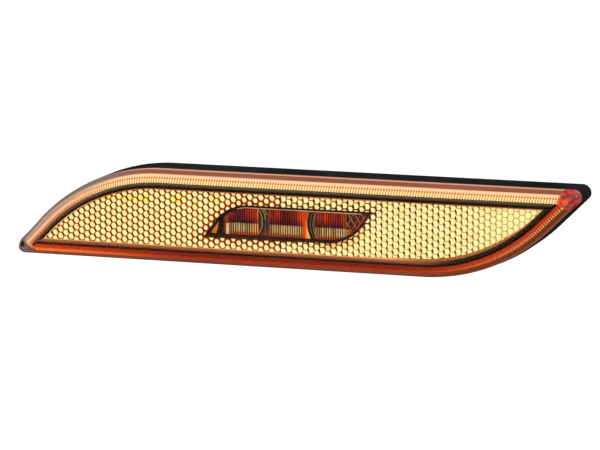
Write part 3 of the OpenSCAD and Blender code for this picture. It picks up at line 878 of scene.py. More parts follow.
def spotted(tree, coords, tone, spots, core):
    """A tone with soft round spots on it. core is the full part of a spot's radius."""
    for *middle, radius, colour in spots:
        mask = between(tree, away_from(tree, coords, *middle), radius, core * radius)
        tone = colour_mix(tree, mask, tone, linear(*colour))
    return tone


def upper_shoulder(tree, look, axes, rim, start, streak):
    """Lens shoulder by the upper guide: lit teeth at its foot, then mauve, then warm, where the
    guide's lit wall is painted in.
    """
    raked = between(tree, axes["X"], *SHOULDER_RAKED)
    teeth = stripes(tree, stored(tree, "along"), rim, 0.5, 0.0)
    lit = colour_mix(tree, raked, tuple(look.line), linear(150, 134, 126))
    foot = colour_mix(tree, spread(tree, teeth, 0.0, 1.0, 0.35, 0.0), lit, linear(144, 90, 72))
    deep = colour_mix(tree, spread(tree, streak, 0.3, 0.7), linear(120, 70, 54), tuple(look.mauve))
    deep = colour_mix(tree, raked, deep, linear(122, 96, 86))
    # Painted light: the guide's lit wall as seen through the shoulder
    warm = colour_mix(tree, raked, linear(232, 178, 138), linear(170, 140, 122))
    tone = colour_mix(tree, spread(tree, rim, 0.06, 0.16), linear(120, 70, 56), foot)
    tone = colour_mix(tree, spread(tree, rim, 0.36, 0.52), tone, deep)
    return colour_mix(tree, spread(tree, rim, minus(tree, start, 0.08), start), tone, warm)


def lower_shoulder(tree, look, axes, rim, streak):
    """Lens shoulder by the lower guide: brown, and in thin lines of painted highlight along the
    right rake.
    """
    brown = ramp(tree, rim, [
        (0.0, 70, 46, 38), (0.55, 98, 58, 46), (0.75, 106, 58, 44), (0.87, look.brown),
        (0.95, 150, 72, 50), (1.0, 158, 66, 40)])
    # Thin light lines along the right rake: painted highlights on the shoulder
    striped = ramp(tree, rim, [
        (0.0, 20, 14, 12), (0.32, 28, 18, 15), (0.42, 112, 72, 58), (0.5, 160, 110, 88),
        (0.56, 112, 60, 50), (0.63, 160, 106, 86), (0.7, 108, 52, 42), (0.78, 144, 80, 52),
        (0.87, 96, 34, 18), (0.94, 136, 64, 30), (1.0, 128, 54, 22)])
    tone = colour_mix(tree, between(tree, axes["X"], *SHOULDER_STRIPED), brown, striped)
    return colour_mix(tree, spread(tree, streak, 0.35, 0.7, 0.0, 0.35), tone, linear(84, 40, 30))


def right_facets(tree, coords, patch):
    """Red and violet facets of the tip block, with spots and dark arcs."""
    tone = ramp(tree, patch, [
        (0.1, 126, 42, 44), (0.4, 184, 54, 42), (0.7, 220, 80, 38), (0.95, 140, 80, 88)])
    tone = spotted(tree, coords, tone, RIGHT_SPOTS, core=0.5)
    for *middle, radius, colour in RIGHT_ARCS:
        off = minus(tree, away_from(tree, coords, *middle), radius * MM)
        arc = between(tree, math_node(tree, "ABSOLUTE", off), 0.28, 0.08, 0.0, 0.6)
        tone = colour_mix(tree, arc, tone, linear(*colour))
    return tone


def left_smoke(tree, coords, patch):
    """Smoky lens round a dark spot."""
    tone = colour_mix(tree, patch, linear(96, 76, 70), linear(132, 104, 94))
    return spotted(tree, coords, tone, LEFT_SPOTS, core=0.5)


def tip_masks(tree, axes):
    """Where the lens shows the right tip's facets, and where the left tip's smoke."""
    across, up = axes["X"], axes["Z"]
    right = times(tree, between(tree, minus(tree, across, times(tree, up, 0.5)), 90.8, 91.6),
                  between(tree, up, 9.8, 11.2))
    right = times(tree, right, between(tree, plus(tree, across, up), 109.8, 110.8))
    sloping = plus(tree, across, times(tree, up, 1.2))
    left = largest(tree, between(tree, across, -99.6, -101.2),
                   between(tree, sloping, -114.6, -116.2))
    return right, left


def coloured_share(tree, half, rim, start, right_tip, left_tip):
    """How much of the lens's own colour is seen: all of it low on the shoulder, none in front."""
    upper = minus(tree, 1.0, math_node(
        tree, "MULTIPLY", minus(tree, rim, start), 30.0, clamp=True))
    lower = spread(tree, rim, 0.95, 0.99, 0.97, 0.0)
    share = add(tree, "Mix", {0: half, 2: lower, 3: upper}).outputs[0]
    share = largest(tree, share, times(tree, left_tip, 0.85))
    share = largest(tree, share, times(tree, right_tip, 0.7))
    # The colour is only seen in the lens, so it keeps no light off the pieces behind
    path = add(tree, "LightPath").outputs
    passed = largest(tree, path["Is Shadow Ray"], path["Is Diffuse Ray"])
    return times(tree, share, minus(tree, 1.0, passed))


def lens_material():
    """Clear lens whose rounded shoulder takes colour from the guides behind it. That colour is
    painted, with the guides' light and shade and the reflections in the shoulder.
    """
    look = settings("lens")
    material, tree = new_material("Clear amber lens")
    rim, half = stored(tree, "rim"), stored(tree, "half")
    coords, axes = object_axes(tree)
    # Where the shoulder turns clear, later on the left rake
    start = between(tree, axes["X"], *SHOULDER_LATE, 0.92, 0.965, "LINEAR")
    # Streaks that run along the lamp
    stretched = vector_node(tree, "MULTIPLY", coords, (20.0, 2400.0, 60.0))
    streak = noise(tree, stretched, scale=1.0)
    upper = upper_shoulder(tree, look, axes, rim, start, streak)
    lower = lower_shoulder(tree, look, axes, rim, streak)
    patch = patches(tree, coords, scale=700.0)
    right_tip, left_tip = tip_masks(tree, axes)
    tone = colour_mix(tree, half, lower, upper)
    tone = colour_mix(tree, right_tip, tone, right_facets(tree, coords, patch))
    tone = colour_mix(tree, left_tip, tone, left_smoke(tree, coords, patch))
    body = add(tree, "BsdfPrincipled", {
        "Base Color": tone, "Roughness": 0.25, "Specular IOR Level": 0.0}).outputs[0]
    share = coloured_share(tree, half, rim, start, right_tip, left_tip)
    clear = clear_shader(tree, (1.0, 0.985, 0.95))
    return finished(material, add(tree, "MixShader", {0: share, 1: clear, 2: body}).outputs[0])


def tip_material(name, stops, spots):
    """A moulded clear block, in broken patches of colour round lit and dark spots."""
    material, tree = new_material(name)
    coords, _ = object_axes(tree)
    value = patches(tree, coords, scale=480.0)
    value = plus(tree, value, noise(tree, coords, scale=300.0, detail=3.0))
    tone = ramp(tree, times(tree, value, 0.5), stops)
    tone = spotted(tree, coords, tone, spots, core=0.3)
    return surfaced(material, tone, roughness=0.25, specular=0.05)


def optic_material():
    """Fluted amber optic: dark red flutes above a step, and pale flutes below it. The pale is
    painted light from above, the dark red the amber in painted shade, with painted shade in the
    flutes' hollows.
    """
    material, tree = new_material("Fluted optic")
    tone = add(tree, "Attribute", attribute_name="tone").outputs["Color"]
    coords, _ = object_axes(tree)
    mottle = spread(tree, noise(tree, coords, scale=900.0, detail=3.0), 0.35, 0.7, 0.0, 0.22)
    tone = colour_mix(tree, mottle, tone, linear(40, 16, 10))
    return surfaced(material, tone, roughness=0.25, specular=0.03)


# Operators


class LAMP_OT_housing(bpy.types.Operator):
    """Rear housing with its moulded edges rounded"""

    bl_idname = "lamp.housing"
    bl_label = "Rear Housing"

    ROUNDING = 0.18 * MM
    # How much further out the wall along the right rake lies than its solid, the depth over which
    # that fades, and where across it starts and is full
    FURTHER = 0.35 * MM
    FADE = 5 * MM
    START, FULL = 50 * MM, 84 * MM

    def execute(self, context):
        obj = softened("rear_housing", "rear_housing_shell", housing_material(), self.ROUNDING)
        body = body_leaf()
        for v in obj.data.vertices:
            p = face_point(v.co)
            beside = smooth(body.reach - self.FADE, body.reach, body.out.dot(p))
            share = beside * smooth(self.START, self.FULL, p.x)
            v.co = place(p + self.FURTHER * share * body.out, -v.co.y)
        return {"FINISHED"}


class LAMP_OT_bezel(bpy.types.Operator):
    """Black bezel between the guides and the reflector"""

    bl_idname = "lamp.bezel"
    bl_label = "Bezel"

    # Gap beside the guides and the reflector, and how far off the wall a point still counts as it
    CLEAR = 0.12 * MM
    SLACK = 0.1 * MM
    ROUNDING = 0.25 * MM

    def execute(self, context):
        bm = copied("bezel")
        body, plate = body_leaf(), plate_leaf()
        outer = inset_of("reflex_reflector")
        wall = outer - self.CLEAR - settings("guides").bezel
        bmesh.ops.triangulate(bm, faces=bm.faces)
        mark_half(bm, body)
        mark(bm, "across", lambda co: span(wall, outer, body.depth(face_point(co))[0]))
        for v in bm.verts:
            p = face_point(v.co)
            depth, out = body.depth(p)
            if wall - self.SLACK < depth < outer:
                run, side = body.run_of(p)
                guide = guide_span(body, run, side > 0)[1]
                beside = p + out * (depth - guide - self.CLEAR)
                off, way = plate.depth(p)
                share = span(wall, outer - self.CLEAR, depth)
                v.co = place(beside.lerp(p + way * (self.CLEAR + off), share), -v.co.y)
        obj = piece("bezel_ring", bm, bezel_material(), "bezel")
        round_edges(obj, self.ROUNDING, 3)
        return {"FINISHED"}


class LAMP_OT_guides(bpy.types.Operator):
    """Upper and lower light guide with their rows of teeth"""

    bl_idname = "lamp.guides"
    bl_label = "Light Guides"

    # A guide's face from its inner side to its outer: share of the width, and mm below the top
    FACE = ((1.0, 0.5), (0.95, 0.12), (0.75, 0.0), (0.5, 0.06), (0.415, 0.3), (0.335, 0.1),
            (0.12, 0.06), (0.03, 0.35), (0.0, 0.9))
    # The lower guide starts in a point: how far its outer side moves in there, how many times as
    # far its inner side moves, and over what length
    POINT = 0.85 * MM
    POINT_LEAN = 1.1
    POINT_LENGTH = 1.8 * MM
    # Steps in a tooth, and the angle up to which its faces look smooth
    STEPS = 6
    SMOOTH_UP_TO = 50

    def build(self, name, node, material, slot, upper, pitch, slant):
        sizes = settings("guides")
        body = body_leaf()
        base, top = rear_of(node), front_of(node)
        start, end = body.point.x - sizes.joint, body.length - sizes.short
        face = [(share, top - drop * MM) for share, drop in self.FACE]
        way = -1 if upper else 1

        def section(run):
            outer, inner = guide_span(body, run, upper)
            if not upper:
                point = self.POINT * (1 - smooth(0.0, self.POINT_LENGTH, run - start))
                outer, inner = outer + point, inner - self.POINT_LEAN * point
            loop = [(inner, base)]
            for share, height in face:
                phase = (way * run + slant * share * MM) / pitch
                dip = 0.5 - 0.5 * math.sin(2 * math.pi * phase)
                loop.append((blend(outer, inner, share), height - sizes.depth * dip))
            return loop + [(outer, base)]

        def across(co):
            p = face_point(co)
            return span(*guide_span(body, body.run_of(p)[0], upper), body.depth(p)[0])

        bm = swept(body, upper, start, end, pitch / self.STEPS, section)
        mark(bm, "across", across)
        mark(bm, "along", lambda co: way * body.run_of(face_point(co))[0] / MM)
        piece(name, bm, material, node, angle=self.SMOOTH_UP_TO)

    def execute(self, context):
        sizes = settings("guides")
        self.build("upper_guide", "upper_light_guide", upper_guide_material(), "guide_amber",
                   True, sizes.upper_pitch, sizes.slant)
        self.build("lower_guide", "lower_light_guide", lower_guide_material(), "guide_red_amber",
                   False, sizes.lower_pitch, 0.0)
        return {"FINISHED"}


class LAMP_OT_tip_blocks(bpy.types.Operator):
    """Clear blocks at the two tips"""

    bl_idname = "lamp.tip_blocks"
    bl_label = "Tip Blocks"

    # Tones along a broken pattern, and spots like the lens's, but all on the block's front
    RIGHT_TONES = (
        (0.2, 150, 48, 34), (0.42, 206, 70, 34), (0.58, 226, 92, 50), (0.75, 196, 84, 78))
    RIGHT_MARKS = ((101, 12.6, 0.8, (255, 214, 170)), (102.5, 14.8, 1.0, (214, 92, 92)))
    LEFT_TONES = ((0.2, 70, 48, 42), (0.45, 120, 76, 62), (0.6, 157, 84, 58), (0.8, 140, 96, 80))
    LEFT_MARKS = ((-98.3, -13.8, 0.9, (250, 176, 84)), (-102.4, -13.3, 1.1, (16, 12, 10)))
    # Gap to the ends of the guides
    GAP = 0.1 * MM
    ROUNDING = 0.5 * MM

    def block(self, node, title, name, tones, spots, slot, side):
        """A tip block without the corners where the guides' ends lie. It is joined from the part
        past both ends and the part between the guides."""
        sizes, body = settings("guides"), body_leaf()
        joint = (Vector((sizes.joint, 0.0)), Vector((1, 0)))
        p, out = body.at(body.length - sizes.short)
        inner = max(guide_span(body, body.length, upper)[1] for upper in (True, False))
        bm = bmesh.new()
        for end in ((p, body.rise), (p - (inner + self.GAP) * out, -out)):
            part = merged(node)
            for q, way in (joint, end):
                cut_off(part, place(side * q, 0.0), place(-side * way, 0.0))
                rim = [e for e in part.edges if e.is_boundary]
                bmesh.ops.holes_fill(part, edges=rim, sides=0)
            mesh = bpy.data.meshes.new("tip part")
            part.to_mesh(mesh)
            part.free()
            bm.from_mesh(mesh)
            bpy.data.meshes.remove(mesh)
        front = front_of("right_tip_block") / MM
        material = tip_material(title, tones, [
            (across, up, front, radius, colour) for across, up, radius, colour in spots])
        round_edges(piece(name, bm, material, node), self.ROUNDING, 3)

    def execute(self, context):
        self.block("right_tip_block", "Right tip block", "right_tip",
                   self.RIGHT_TONES, self.RIGHT_MARKS, "guide_red_amber", 1)
        self.block("left_tip_block", "Left tip block", "left_tip",
                   self.LEFT_TONES, self.LEFT_MARKS, "guide_amber", -1)
        return {"FINISHED"}


class LAMP_OT_reflector(bpy.types.Operator):
    """Field of reflex prisms behind a smooth front"""

    bl_idname = "lamp.reflector"
    bl_label = "Reflex Reflector"

    STEPS = 18
    # Width of floor at a prism's side, top and other walls
    SLANTED_GAPS = (0.3 * MM, 0.09 * MM, 0.09 * MM)
    UPRIGHT_GAPS = (0.05 * MM, 0.05 * MM, 0.05 * MM)
    # A prism's raised face from foot to top: mm in from the gap, sharpness of its corners, mm down
    FACE = ((0.04, 10, 0.12), (0.16, 9, 0.02), (0.34, 8, 0.0))
    FLOOR_SHARPNESS, FOOT_SHARPNESS = 60, 11
    # A pad's open ring this close to its top is closed
    OPEN_TOP = 0.01 * MM
    # How far a prism has to reach onto the plate, and out of the window, for it to be built
    PLATE_MARGIN = 0.2 * MM
    WINDOW_MARGIN = 0.4 * MM
    # A cut prism stops this far before the plate's outline and the window's
    CUT = 0.05 * MM
    # Prisms to the right of this are upright
    UPRIGHT_FROM = -2.2 * MM
    # Prisms this near the window have wider edges, and those below it are lit on the right
    NEAR = 1.6 * MM
    LIT_START, LIT_FULL = 6 * MM, 14 * MM
    # Where the dark slivers fade out on the right
    FADE_START, FADE_END = 60 * MM, 88 * MM
    # Thickness of the plate behind the prisms, its distance from them, and the front's thickness
    BACKING = 1.1 * MM
    BACKING_CLEAR = 0.05 * MM
    FRONT = 0.15 * MM
    FLAT_STEPS, TURN_STEPS = 40, 16
    # The plate's lit edge: how far down it goes, its width, and how much wider it is in the lower
    # wide corner
    EDGE_DEPTH = 0.6 * MM
    EDGE_WIDTH = 0.3 * MM
    EDGE_WIDENING = 0.65 * MM
    EDGE_STEP = 1.5 * MM
    # Its tones, pale on the left and dark on the right, and where they change, in mm
    UPPER_EDGE = (((206, 166, 104), (240, 206, 142)), ((150, 76, 34), (196, 112, 60)), -84, -66)
    LOWER_EDGE = (((206, 142, 90), (236, 190, 138)), ((140, 78, 34), (188, 122, 66)), 34, 52)

    def rounded(self, walls, sharpness):
        """Points of a rounded cell. walls are (direction in degrees, distance)."""
        points = []
        for i in range(self.STEPS):
            a = 2 * math.pi * i / self.STEPS
            total = sum(
                (max(0.0, math.cos(a - math.radians(d))) / far) ** sharpness for d, far in walls)
            points.append(total ** (-1 / sharpness) * Vector((math.cos(a), math.sin(a))))
        return points

    def pad(self, gaps, height):
        """One prism: a hexagon of floor, and on it a raised face with a sloping edge."""
        reach = settings("cells").pitch / 2
        walls = [(30 + 60 * k, gaps[k % 3]) for k in range(6)]

        def loop(more, sharpness):
            return self.rounded([(d, reach - gap - more) for d, gap in walls], sharpness)

        rings = [(self.rounded([(d, reach) for d, _ in walls], self.FLOOR_SHARPNESS), -height),
                 (loop(0.0, self.FOOT_SHARPNESS), -height)]
        rings += [(loop(more * MM, sharpness), -drop * MM) for more, sharpness, drop in self.FACE]
        bm = bmesh.new()
        bmesh.ops.create_grid(bm, x_segments=self.STEPS, y_segments=len(rings) - 1, size=0.5)
        for v in bm.verts:
            i = round((v.co.x + 0.5) * self.STEPS) % self.STEPS
            points, level = rings[round((v.co.y + 0.5) * (len(rings) - 1))]
            v.co = (*points[i], level)
        bmesh.ops.remove_doubles(bm, verts=bm.verts, dist=TOUCHING)
        top = [e for e in bm.edges if e.is_boundary and e.verts[0].co.z > -self.OPEN_TOP]
        bmesh.ops.holes_fill(bm, edges=top, sides=self.STEPS)
        bmesh.ops.recalc_face_normals(bm, faces=bm.faces)
        if sum(f.normal.z for f in bm.faces) < 0:
            bmesh.ops.reverse_faces(bm, faces=bm.faces)
        spot = bm.verts.layers.float_vector.new("spot")
        for v in bm.verts:
            v[spot] = (v.co.x / MM, v.co.y / MM, 0.0)
        return bm

    def clipped(self, pad, spot, plate, window):
        """A prism's mesh, cut off at both halves of the plate's outline and at the window."""
        cuts = []
        for side in (1, -1):
            depth, out = plate.lower_depth(-side * (spot - plate.centre))
            cuts.append((depth, -side * out, 1))
        cuts.append((*window.depth(spot), -1))
        bm = pad.copy()
        radius = settings("cells").pitch / math.sqrt(3)
        for depth, out, keep in cuts:
            if abs(depth) <= radius:
                cut_off(bm, (*(out * (depth - self.CUT * keep)), 0), (*(out * keep), 0))
        mesh = bpy.data.meshes.new("clipped prism")
        bm.to_mesh(mesh)
        bm.free()
        return mesh

    def prisms(self, plate, window, height):
        """All prisms in one mesh. Each keeps its kind: upright, dark sliver, light, near."""
        cells = settings("cells")
        side = cells.pitch / math.sqrt(3)
        slanted = self.pad(self.SLANTED_GAPS, cells.height)
        upright = self.pad(self.UPRIGHT_GAPS, cells.height)
        random.seed(7)
        bm = bmesh.new()
        kind = bm.verts.layers.float_color.new("kind")
        bm.verts.layers.float_vector.new("spot")
        columns = int(plate.point.x / (1.5 * side)) + 2
        rows = int(plate.half / cells.pitch) + 2
        for j in range(-columns, columns + 1):
            for i in range(-rows, rows + 1):
                spot = Vector((1.5 * side * j, cells.rise + cells.pitch * (i + (abs(j) % 2) / 2)))
                inside, away = plate.depth(spot)[0], -window.depth(spot)[0]
                if inside < self.PLATE_MARGIN - side or away < self.WINDOW_MARGIN - side:
                    continue
                right = spot.x > self.UPRIGHT_FROM
                mesh = self.clipped(upright if right else slanted, spot, plate, window)
                known = len(bm.verts)
                bm.from_mesh(mesh)
                bpy.data.meshes.remove(mesh)
                bm.verts.ensure_lookup_table()
                near = smooth(self.NEAR, 0.0, away - side)
                below = smooth(self.LIT_START, self.LIT_FULL, spot.x) if spot.y < 0 else 0.0
                # A few prisms are also lit by chance
                light = 0.45 * random.random() ** 3 + 0.9 * near * below
                fade = 1 - 0.8 * smooth(self.FADE_START, self.FADE_END, spot.x)
                fade *= 0.9 + 0.1 * random.random()
                for v in bm.verts[known:]:
                    v[kind] = (1.0 if right else 0.0, fade, light, near)
                    p = spot + Vector((v.co.x, v.co.y))
                    v.co = place(p, height + v.co.z)
        slanted.free()
        upright.free()
        return bm

    def execute(self, context):
        cells = settings("cells")
        plate, window = plate_leaf(), window_leaf()
        front = front_of("reflex_reflector")
        piece("reflex_prisms", self.prisms(plate, window, front - cells.front), cell_material(),
              "reflex_reflector", angle=60)
        rear = front - cells.front - cells.height
        self.backing(plate, window, rear - self.BACKING_CLEAR)
        self.face(plate, window, front)
        self.border(plate, front)
        return {"FINISHED"}

    def ring_points(self, leaf):
        """Points all round a leaf, close enough for its curves."""
        points = []
        for upper in (False, True):
            runs = [leaf.flat * k / self.FLAT_STEPS for k in range(self.FLAT_STEPS)]
            runs += [leaf.flat + leaf.turn * k / self.TURN_STEPS
                     for k in range(self.TURN_STEPS + 1)]
            runs += [leaf.length]
            points += [leaf.edge(r, upper) for r in runs]
        return points

    def sheet(self, plate, window, height, thickness):
        """A flat plate in the reflector's outline, open at the window."""
        bm = bmesh.new()
        edges = []
        for leaf in (plate, window):
            loop = [bm.verts.new(place(p, height)) for p in self.ring_points(leaf)]
            edges += [bm.edges.new((loop[k - 1], loop[k])) for k in range(len(loop))]
        bmesh.ops.triangle_fill(bm, use_beauty=True, edges=edges, normal=(0, -1, 0))
        made = bmesh.ops.extrude_face_region(bm, geom=bm.faces[:])
        moved = [g for g in made["geom"] if isinstance(g, bmesh.types.BMVert)]
        bmesh.ops.translate(bm, verts=moved, vec=(0, thickness, 0))
        bmesh.ops.recalc_face_normals(bm, faces=bm.faces)
        return bm

    def backing(self, plate, window, height):
        material = solid_material(
            "Prism roots", (96, 38, 8), (156, 70, 18), 0.4, 500.0, specular=0.1)
        bm = self.sheet(plate, window, height, self.BACKING)
        piece("prism_roots", bm, material)

    def face(self, plate, window, height):
        bm = self.sheet(plate, window, height, self.FRONT)
        piece("reflector_front", bm, clear_material("Reflector front", (1.0, 0.98, 0.93)))

    def edge_material(self, name, pale, dark, low, high):
        material, tree = new_material(name)
        _, axes = object_axes(tree)
        grain = grained(tree, scale=700.0, roughness=0.3, haze=0.1)
        tones = [colour_mix(tree, grain["Mottle"], linear(*a), linear(*b))
                 for a, b in (pale, dark)]
        tone = colour_mix(tree, between(tree, axes["X"], low, high), *tones)
        return surfaced(material, tone, grain["Roughness"], specular=0.03)

    def border(self, plate, height):
        """The plate's lit edge, orange above and cream below."""
        def profile(wide):
            return [
                (0.0, height - self.EDGE_DEPTH), (0.0, height - 0.03 * MM),
                (0.06 * MM, height + 0.02 * MM), (wide - 0.04 * MM, height + 0.02 * MM),
                (wide, height - 0.05 * MM), (wide, height - self.EDGE_DEPTH)]

        def upper(run):
            return profile(self.EDGE_WIDTH)

        def lower(run):
            corner = smooth(0.8 * plate.flat, plate.flat, run)
            corner *= smooth(plate.length, plate.flat + 0.5 * plate.turn, run)
            return profile(self.EDGE_WIDTH + self.EDGE_WIDENING * corner)

        warm = self.edge_material("Upper plate edge", *self.UPPER_EDGE)
        cream = self.edge_material("Lower plate edge", *self.LOWER_EDGE)
        for name, side, material, section in (
                ("reflector_upper_edge", True, warm, upper),
                ("reflector_lower_edge", False, cream, lower)):
            bm = swept(plate, side, 0.0, plate.length, self.EDGE_STEP, section)
            piece(name, bm, material)


class LAMP_OT_window(bpy.types.Operator):
    """Black window frame with its bowls, and the fluted optic in it"""

    bl_idname = "lamp.window"
    bl_label = "Window"

    # The optic is painted point by point, at places in mm. Each field: its left and right end,
    # and tones from left to right above the step
    # The dark tones above the step are the amber in painted shade, where the flutes face down
    FIELDS = (
        (-22.6, -11.3, (
            paint(152, 38, 24), paint(108, 30, 34), paint(90, 28, 42),
            paint(118, 30, 26), paint(162, 44, 20), paint(204, 84, 30))),
        (-7.4, 5.3, (
            paint(140, 34, 24), paint(156, 38, 20), paint(110, 30, 32),
            paint(92, 26, 28), paint(150, 40, 18), paint(206, 74, 24))),
        (9.6, 21.4, (
            paint(96, 42, 34), paint(136, 36, 22), paint(172, 50, 22),
            paint(116, 30, 26), paint(140, 38, 24), paint(200, 80, 28))),
    )
    LEFT_END, RIGHT_END = -22.6, 21.4
    # Height of the step across the flutes, and distance from one flute to the next
    STEP = -0.85
    PITCH = 0.87
    BLACK, OLIVE, GREY = paint(22, 18, 16), paint(158, 136, 88), paint(80, 70, 54)
    # Arcs on the bowls' curved sides: inner and outer radius, left and right end, lowest height,
    # colour and how much of it
    LEFT_ARCS = (
        (7.0, 7.3, -11.5, -7.0, -9.0, OLIVE, 0.85), (7.3, 7.9, -11.5, -7.0, -9.0, BLACK, 1.0),
        (8.1, 8.4, -11.5, -7.4, 0.8, OLIVE, 0.8), (9.0, 9.25, -11.5, -7.4, 2.4, OLIVE, 0.8))
    RIGHT_ARCS = (
        (6.6, 8.3, 5.2, 12.0, -9.0, BLACK, 1.0), (7.15, 7.35, 5.2, 12.0, -9.0, OLIVE, 0.5),
        (6.1, 6.35, 5.2, 10.6, -9.0, OLIVE, 0.55))
    # Left and right end of the orange glow beside the middle bowl
    GLOW_START, GLOW_END = 5.3, 7.9
    # The optic's grid, and how far its face lies back: in a flute, elsewhere and below the step
    COLUMN = 0.14 * MM
    ROWS = 64
    FLUTE_DEPTH = 0.3 * MM
    PLAIN_DEPTH = 0.2 * MM
    STEP_DEPTH = 0.2 * MM
    # The frame's ledge and the optic's edge lie this far from the optic's solid
    LEDGE_CLEAR = 0.12 * MM
    OVERLAP = 0.22 * MM
    # The frame's rim: how near its ledge a point has to be to move out, how far it moves, how deep
    # the rim goes, and from where to where it follows the window's outline
    RIM_SLACK = 0.15 * MM
    RIM_SHIFT = 0.25 * MM
    RIM_DEPTH = 0.7 * MM
    FOLLOW_START, FOLLOW_FULL = 1.6 * MM, 0.9 * MM
    # The lip's width along the bottom and along the right rake
    LIP_WIDTH, LIP_NARROW = 0.55 * MM, 0.25 * MM
    LIP_STEP = 0.8 * MM
    FRAME_ROUNDING = 0.1 * MM
    # The optic's lit edge laps its outline and stands over its face
    EDGE_LAP = 0.02 * MM
    EDGE_LIFT = 0.1 * MM

    def flutes(self, u, v, low, high, tones):
        """Colour inside a fluted field."""
        t = (u - low) / (high - low)
        spot = t * (len(tones) - 1)
        k = min(int(spot), len(tones) - 2)
        flute = (u - low) / self.PITCH
        wave = 0.5 - 0.5 * math.cos(2 * math.pi * flute)
        chance = random.Random(int(flute) * 7 + int(10 * low)).random()
        if v > self.STEP:
            base = blend(tones[k], tones[k + 1], spot - k)
            violet = smooth(2.4, self.STEP, v) * smooth(1.05, 0.8, t)
            base = blend(base, paint(66, 26, 42), 0.7 * violet)
            base = base * (0.8 + 1.3 * chance * smooth(-0.5, 2.6, v))
            # Painted shade in the flutes' hollows
            return blend(base, paint(20, 6, 6), 0.85 * smooth(0.75, 0.15, wave))
        # Below the step the pale is painted light falling from above
        pale = blend(paint(218, 190, 132), paint(164, 126, 76), chance)
        if low == self.LEFT_END:
            pale = blend(pale, paint(240, 160, 84), smooth(0.78, 0.9, t))
        pale = blend(pale, paint(146, 84, 66), 0.7 * smooth(0.22, 0.02, t))
        base = blend(paint(190, 78, 34), pale, smooth(-4.6, -3.5, v))
        # Painted shade in the flutes' hollows
        base = blend(base, paint(48, 16, 6), 0.95 * smooth(0.8, 0.2, wave))
        # Painted shade just under the step
        return blend(base, paint(70, 30, 22), smooth(-1.1, self.STEP, v) * 0.6)

    def plain(self, u, v):
        """Colour between the fields: thin grey lines on black, and red at the foot."""
        base = blend(self.BLACK, self.GREY, 0.5 + 0.5 * math.sin(u / 0.21))
        return blend(base, paint(120, 48, 32), 0.55 * smooth(-1.5, -4.0, v))

    def glow(self, u, v):
        """Colour of the orange glow beside the middle bowl."""
        base = blend(paint(196, 56, 16), paint(236, 110, 34), smooth(5.4, 6.8, u))
        base = blend(base, paint(168, 58, 18), 0.8 * smooth(-2.0, 2.5, v))
        return blend(base, paint(252, 170, 76), smooth(6.0, 7.2, u) * smooth(-0.5, -3.5, v))

    def arcs(self, base, u, v, away, rows):
        """A colour with the arcs on it. away is the distance from their middle."""
        for inner, outer, low, high, foot, colour, share in rows:
            if inner < away < outer and low < u < high and v > foot:
                base = blend(base, colour, share)
        return base

    def left_end(self, u, v):
        """Colour of the left end: orange tip, olive and black lines and a pale patch."""
        base = blend(paint(58, 34, 28), paint(126, 58, 38), smooth(-24.6, -23.6, u))
        if -23.7 < u and v < -1.3:
            base = paint(216, 186, 134)
        if abs(u + 25.3 - 0.10 * v) < 0.65:
            base = self.BLACK
        if abs(u + 26.35 - 0.25 * v) < 0.16:
            base = self.OLIVE
        if u < -26.45 + 0.2 * v:
            base = blend(paint(246, 134, 36), paint(226, 84, 26), smooth(-3.0, -5.5, v))
        return base

    def right_end(self, u, v):
        """Colour of the right end: small facets between crossing ribs."""
        falling, rising = (v + 1.55 * (u - 22.2)) / 3.9, (v - 1.9 * (u - 24.4)) / 5.2
        chance = random.Random(9 * math.floor(falling) + 5 * math.floor(rising)).random()
        base = blend(paint(30, 16, 12), paint(132, 36, 30), chance * smooth(21.6, 25.5, u))
        for rib, colour in ((falling, self.OLIVE), (rising, paint(150, 84, 60))):
            share = rib - math.floor(rib)
            base = blend(base, self.BLACK, 0.7 * smooth(0.3, 0.16, share))
            base = blend(base, colour, 0.85 * smooth(0.15, 0.1, share) * smooth(-1.8, 0.4, v))
        if u > 24.7 and abs(v - 4.4 + (29.0 - u) * 1.3) < 0.32:
            base = paint(206, 74, 70)
        if v < -1.0:
            base = blend(base, paint(206, 100, 44), 0.7 * smooth(24.6, 22.0, u))
        return base

    def tone(self, p, left, right):
        """Colour of the optic at a point. left and right are the outer bowls' middles."""
        u, v = p
        if u < self.LEFT_END:
            return self.left_end(u, v)
        if u > self.RIGHT_END:
            return self.right_end(u, v)
        base = self.plain(u, v)
        for low, high, tones in self.FIELDS:
            if low < u < high:
                base = self.flutes(u, v, low, high, tones)
        base = self.arcs(base, u, v, math.hypot(u - left, v), self.LEFT_ARCS)
        if self.GLOW_START < u < self.GLOW_END:
            base = self.glow(u, v)
        return self.arcs(base, u, v, math.hypot(u - right, 0.85 * v), self.RIGHT_ARCS)

    def drop(self, p):
        """How far the optic's face lies back at a point."""
        drop = self.PLAIN_DEPTH
        for low, high, _ in self.FIELDS:
            if low * MM < p.x < high * MM:
                flute = math.pi * (p.x / MM - low) / self.PITCH
                drop = self.FLUTE_DEPTH * (1 - abs(math.sin(flute)))
        return drop + self.STEP_DEPTH * smooth(self.STEP, self.STEP - 0.25, p.y / MM)

    def rim_frame(self, window, front, ledge):
        """The window frame, with the visible rim made as narrow as it looks through the lens."""
        bm = copied("reflector_bank")
        for v in bm.verts:
            p, height = face_point(v.co), -v.co.y
            depth, out = window.depth(p + window.centre)
            if height > front - self.RIM_DEPTH and abs(depth - ledge) < self.RIM_SLACK:
                p = p + self.RIM_SHIFT * out
            share = smooth(front - self.FOLLOW_START, front - self.FOLLOW_FULL, height)
            v.co = place(p + window.centre * share, height)
        material = solid_material(
            "Window frame", (24, 15, 12), (38, 24, 18), 0.35, 1200.0, specular=0.1)
        obj = piece("window_frame", bm, material, "reflector_bank")
        round_edges(obj, self.FRAME_ROUNDING, 2)

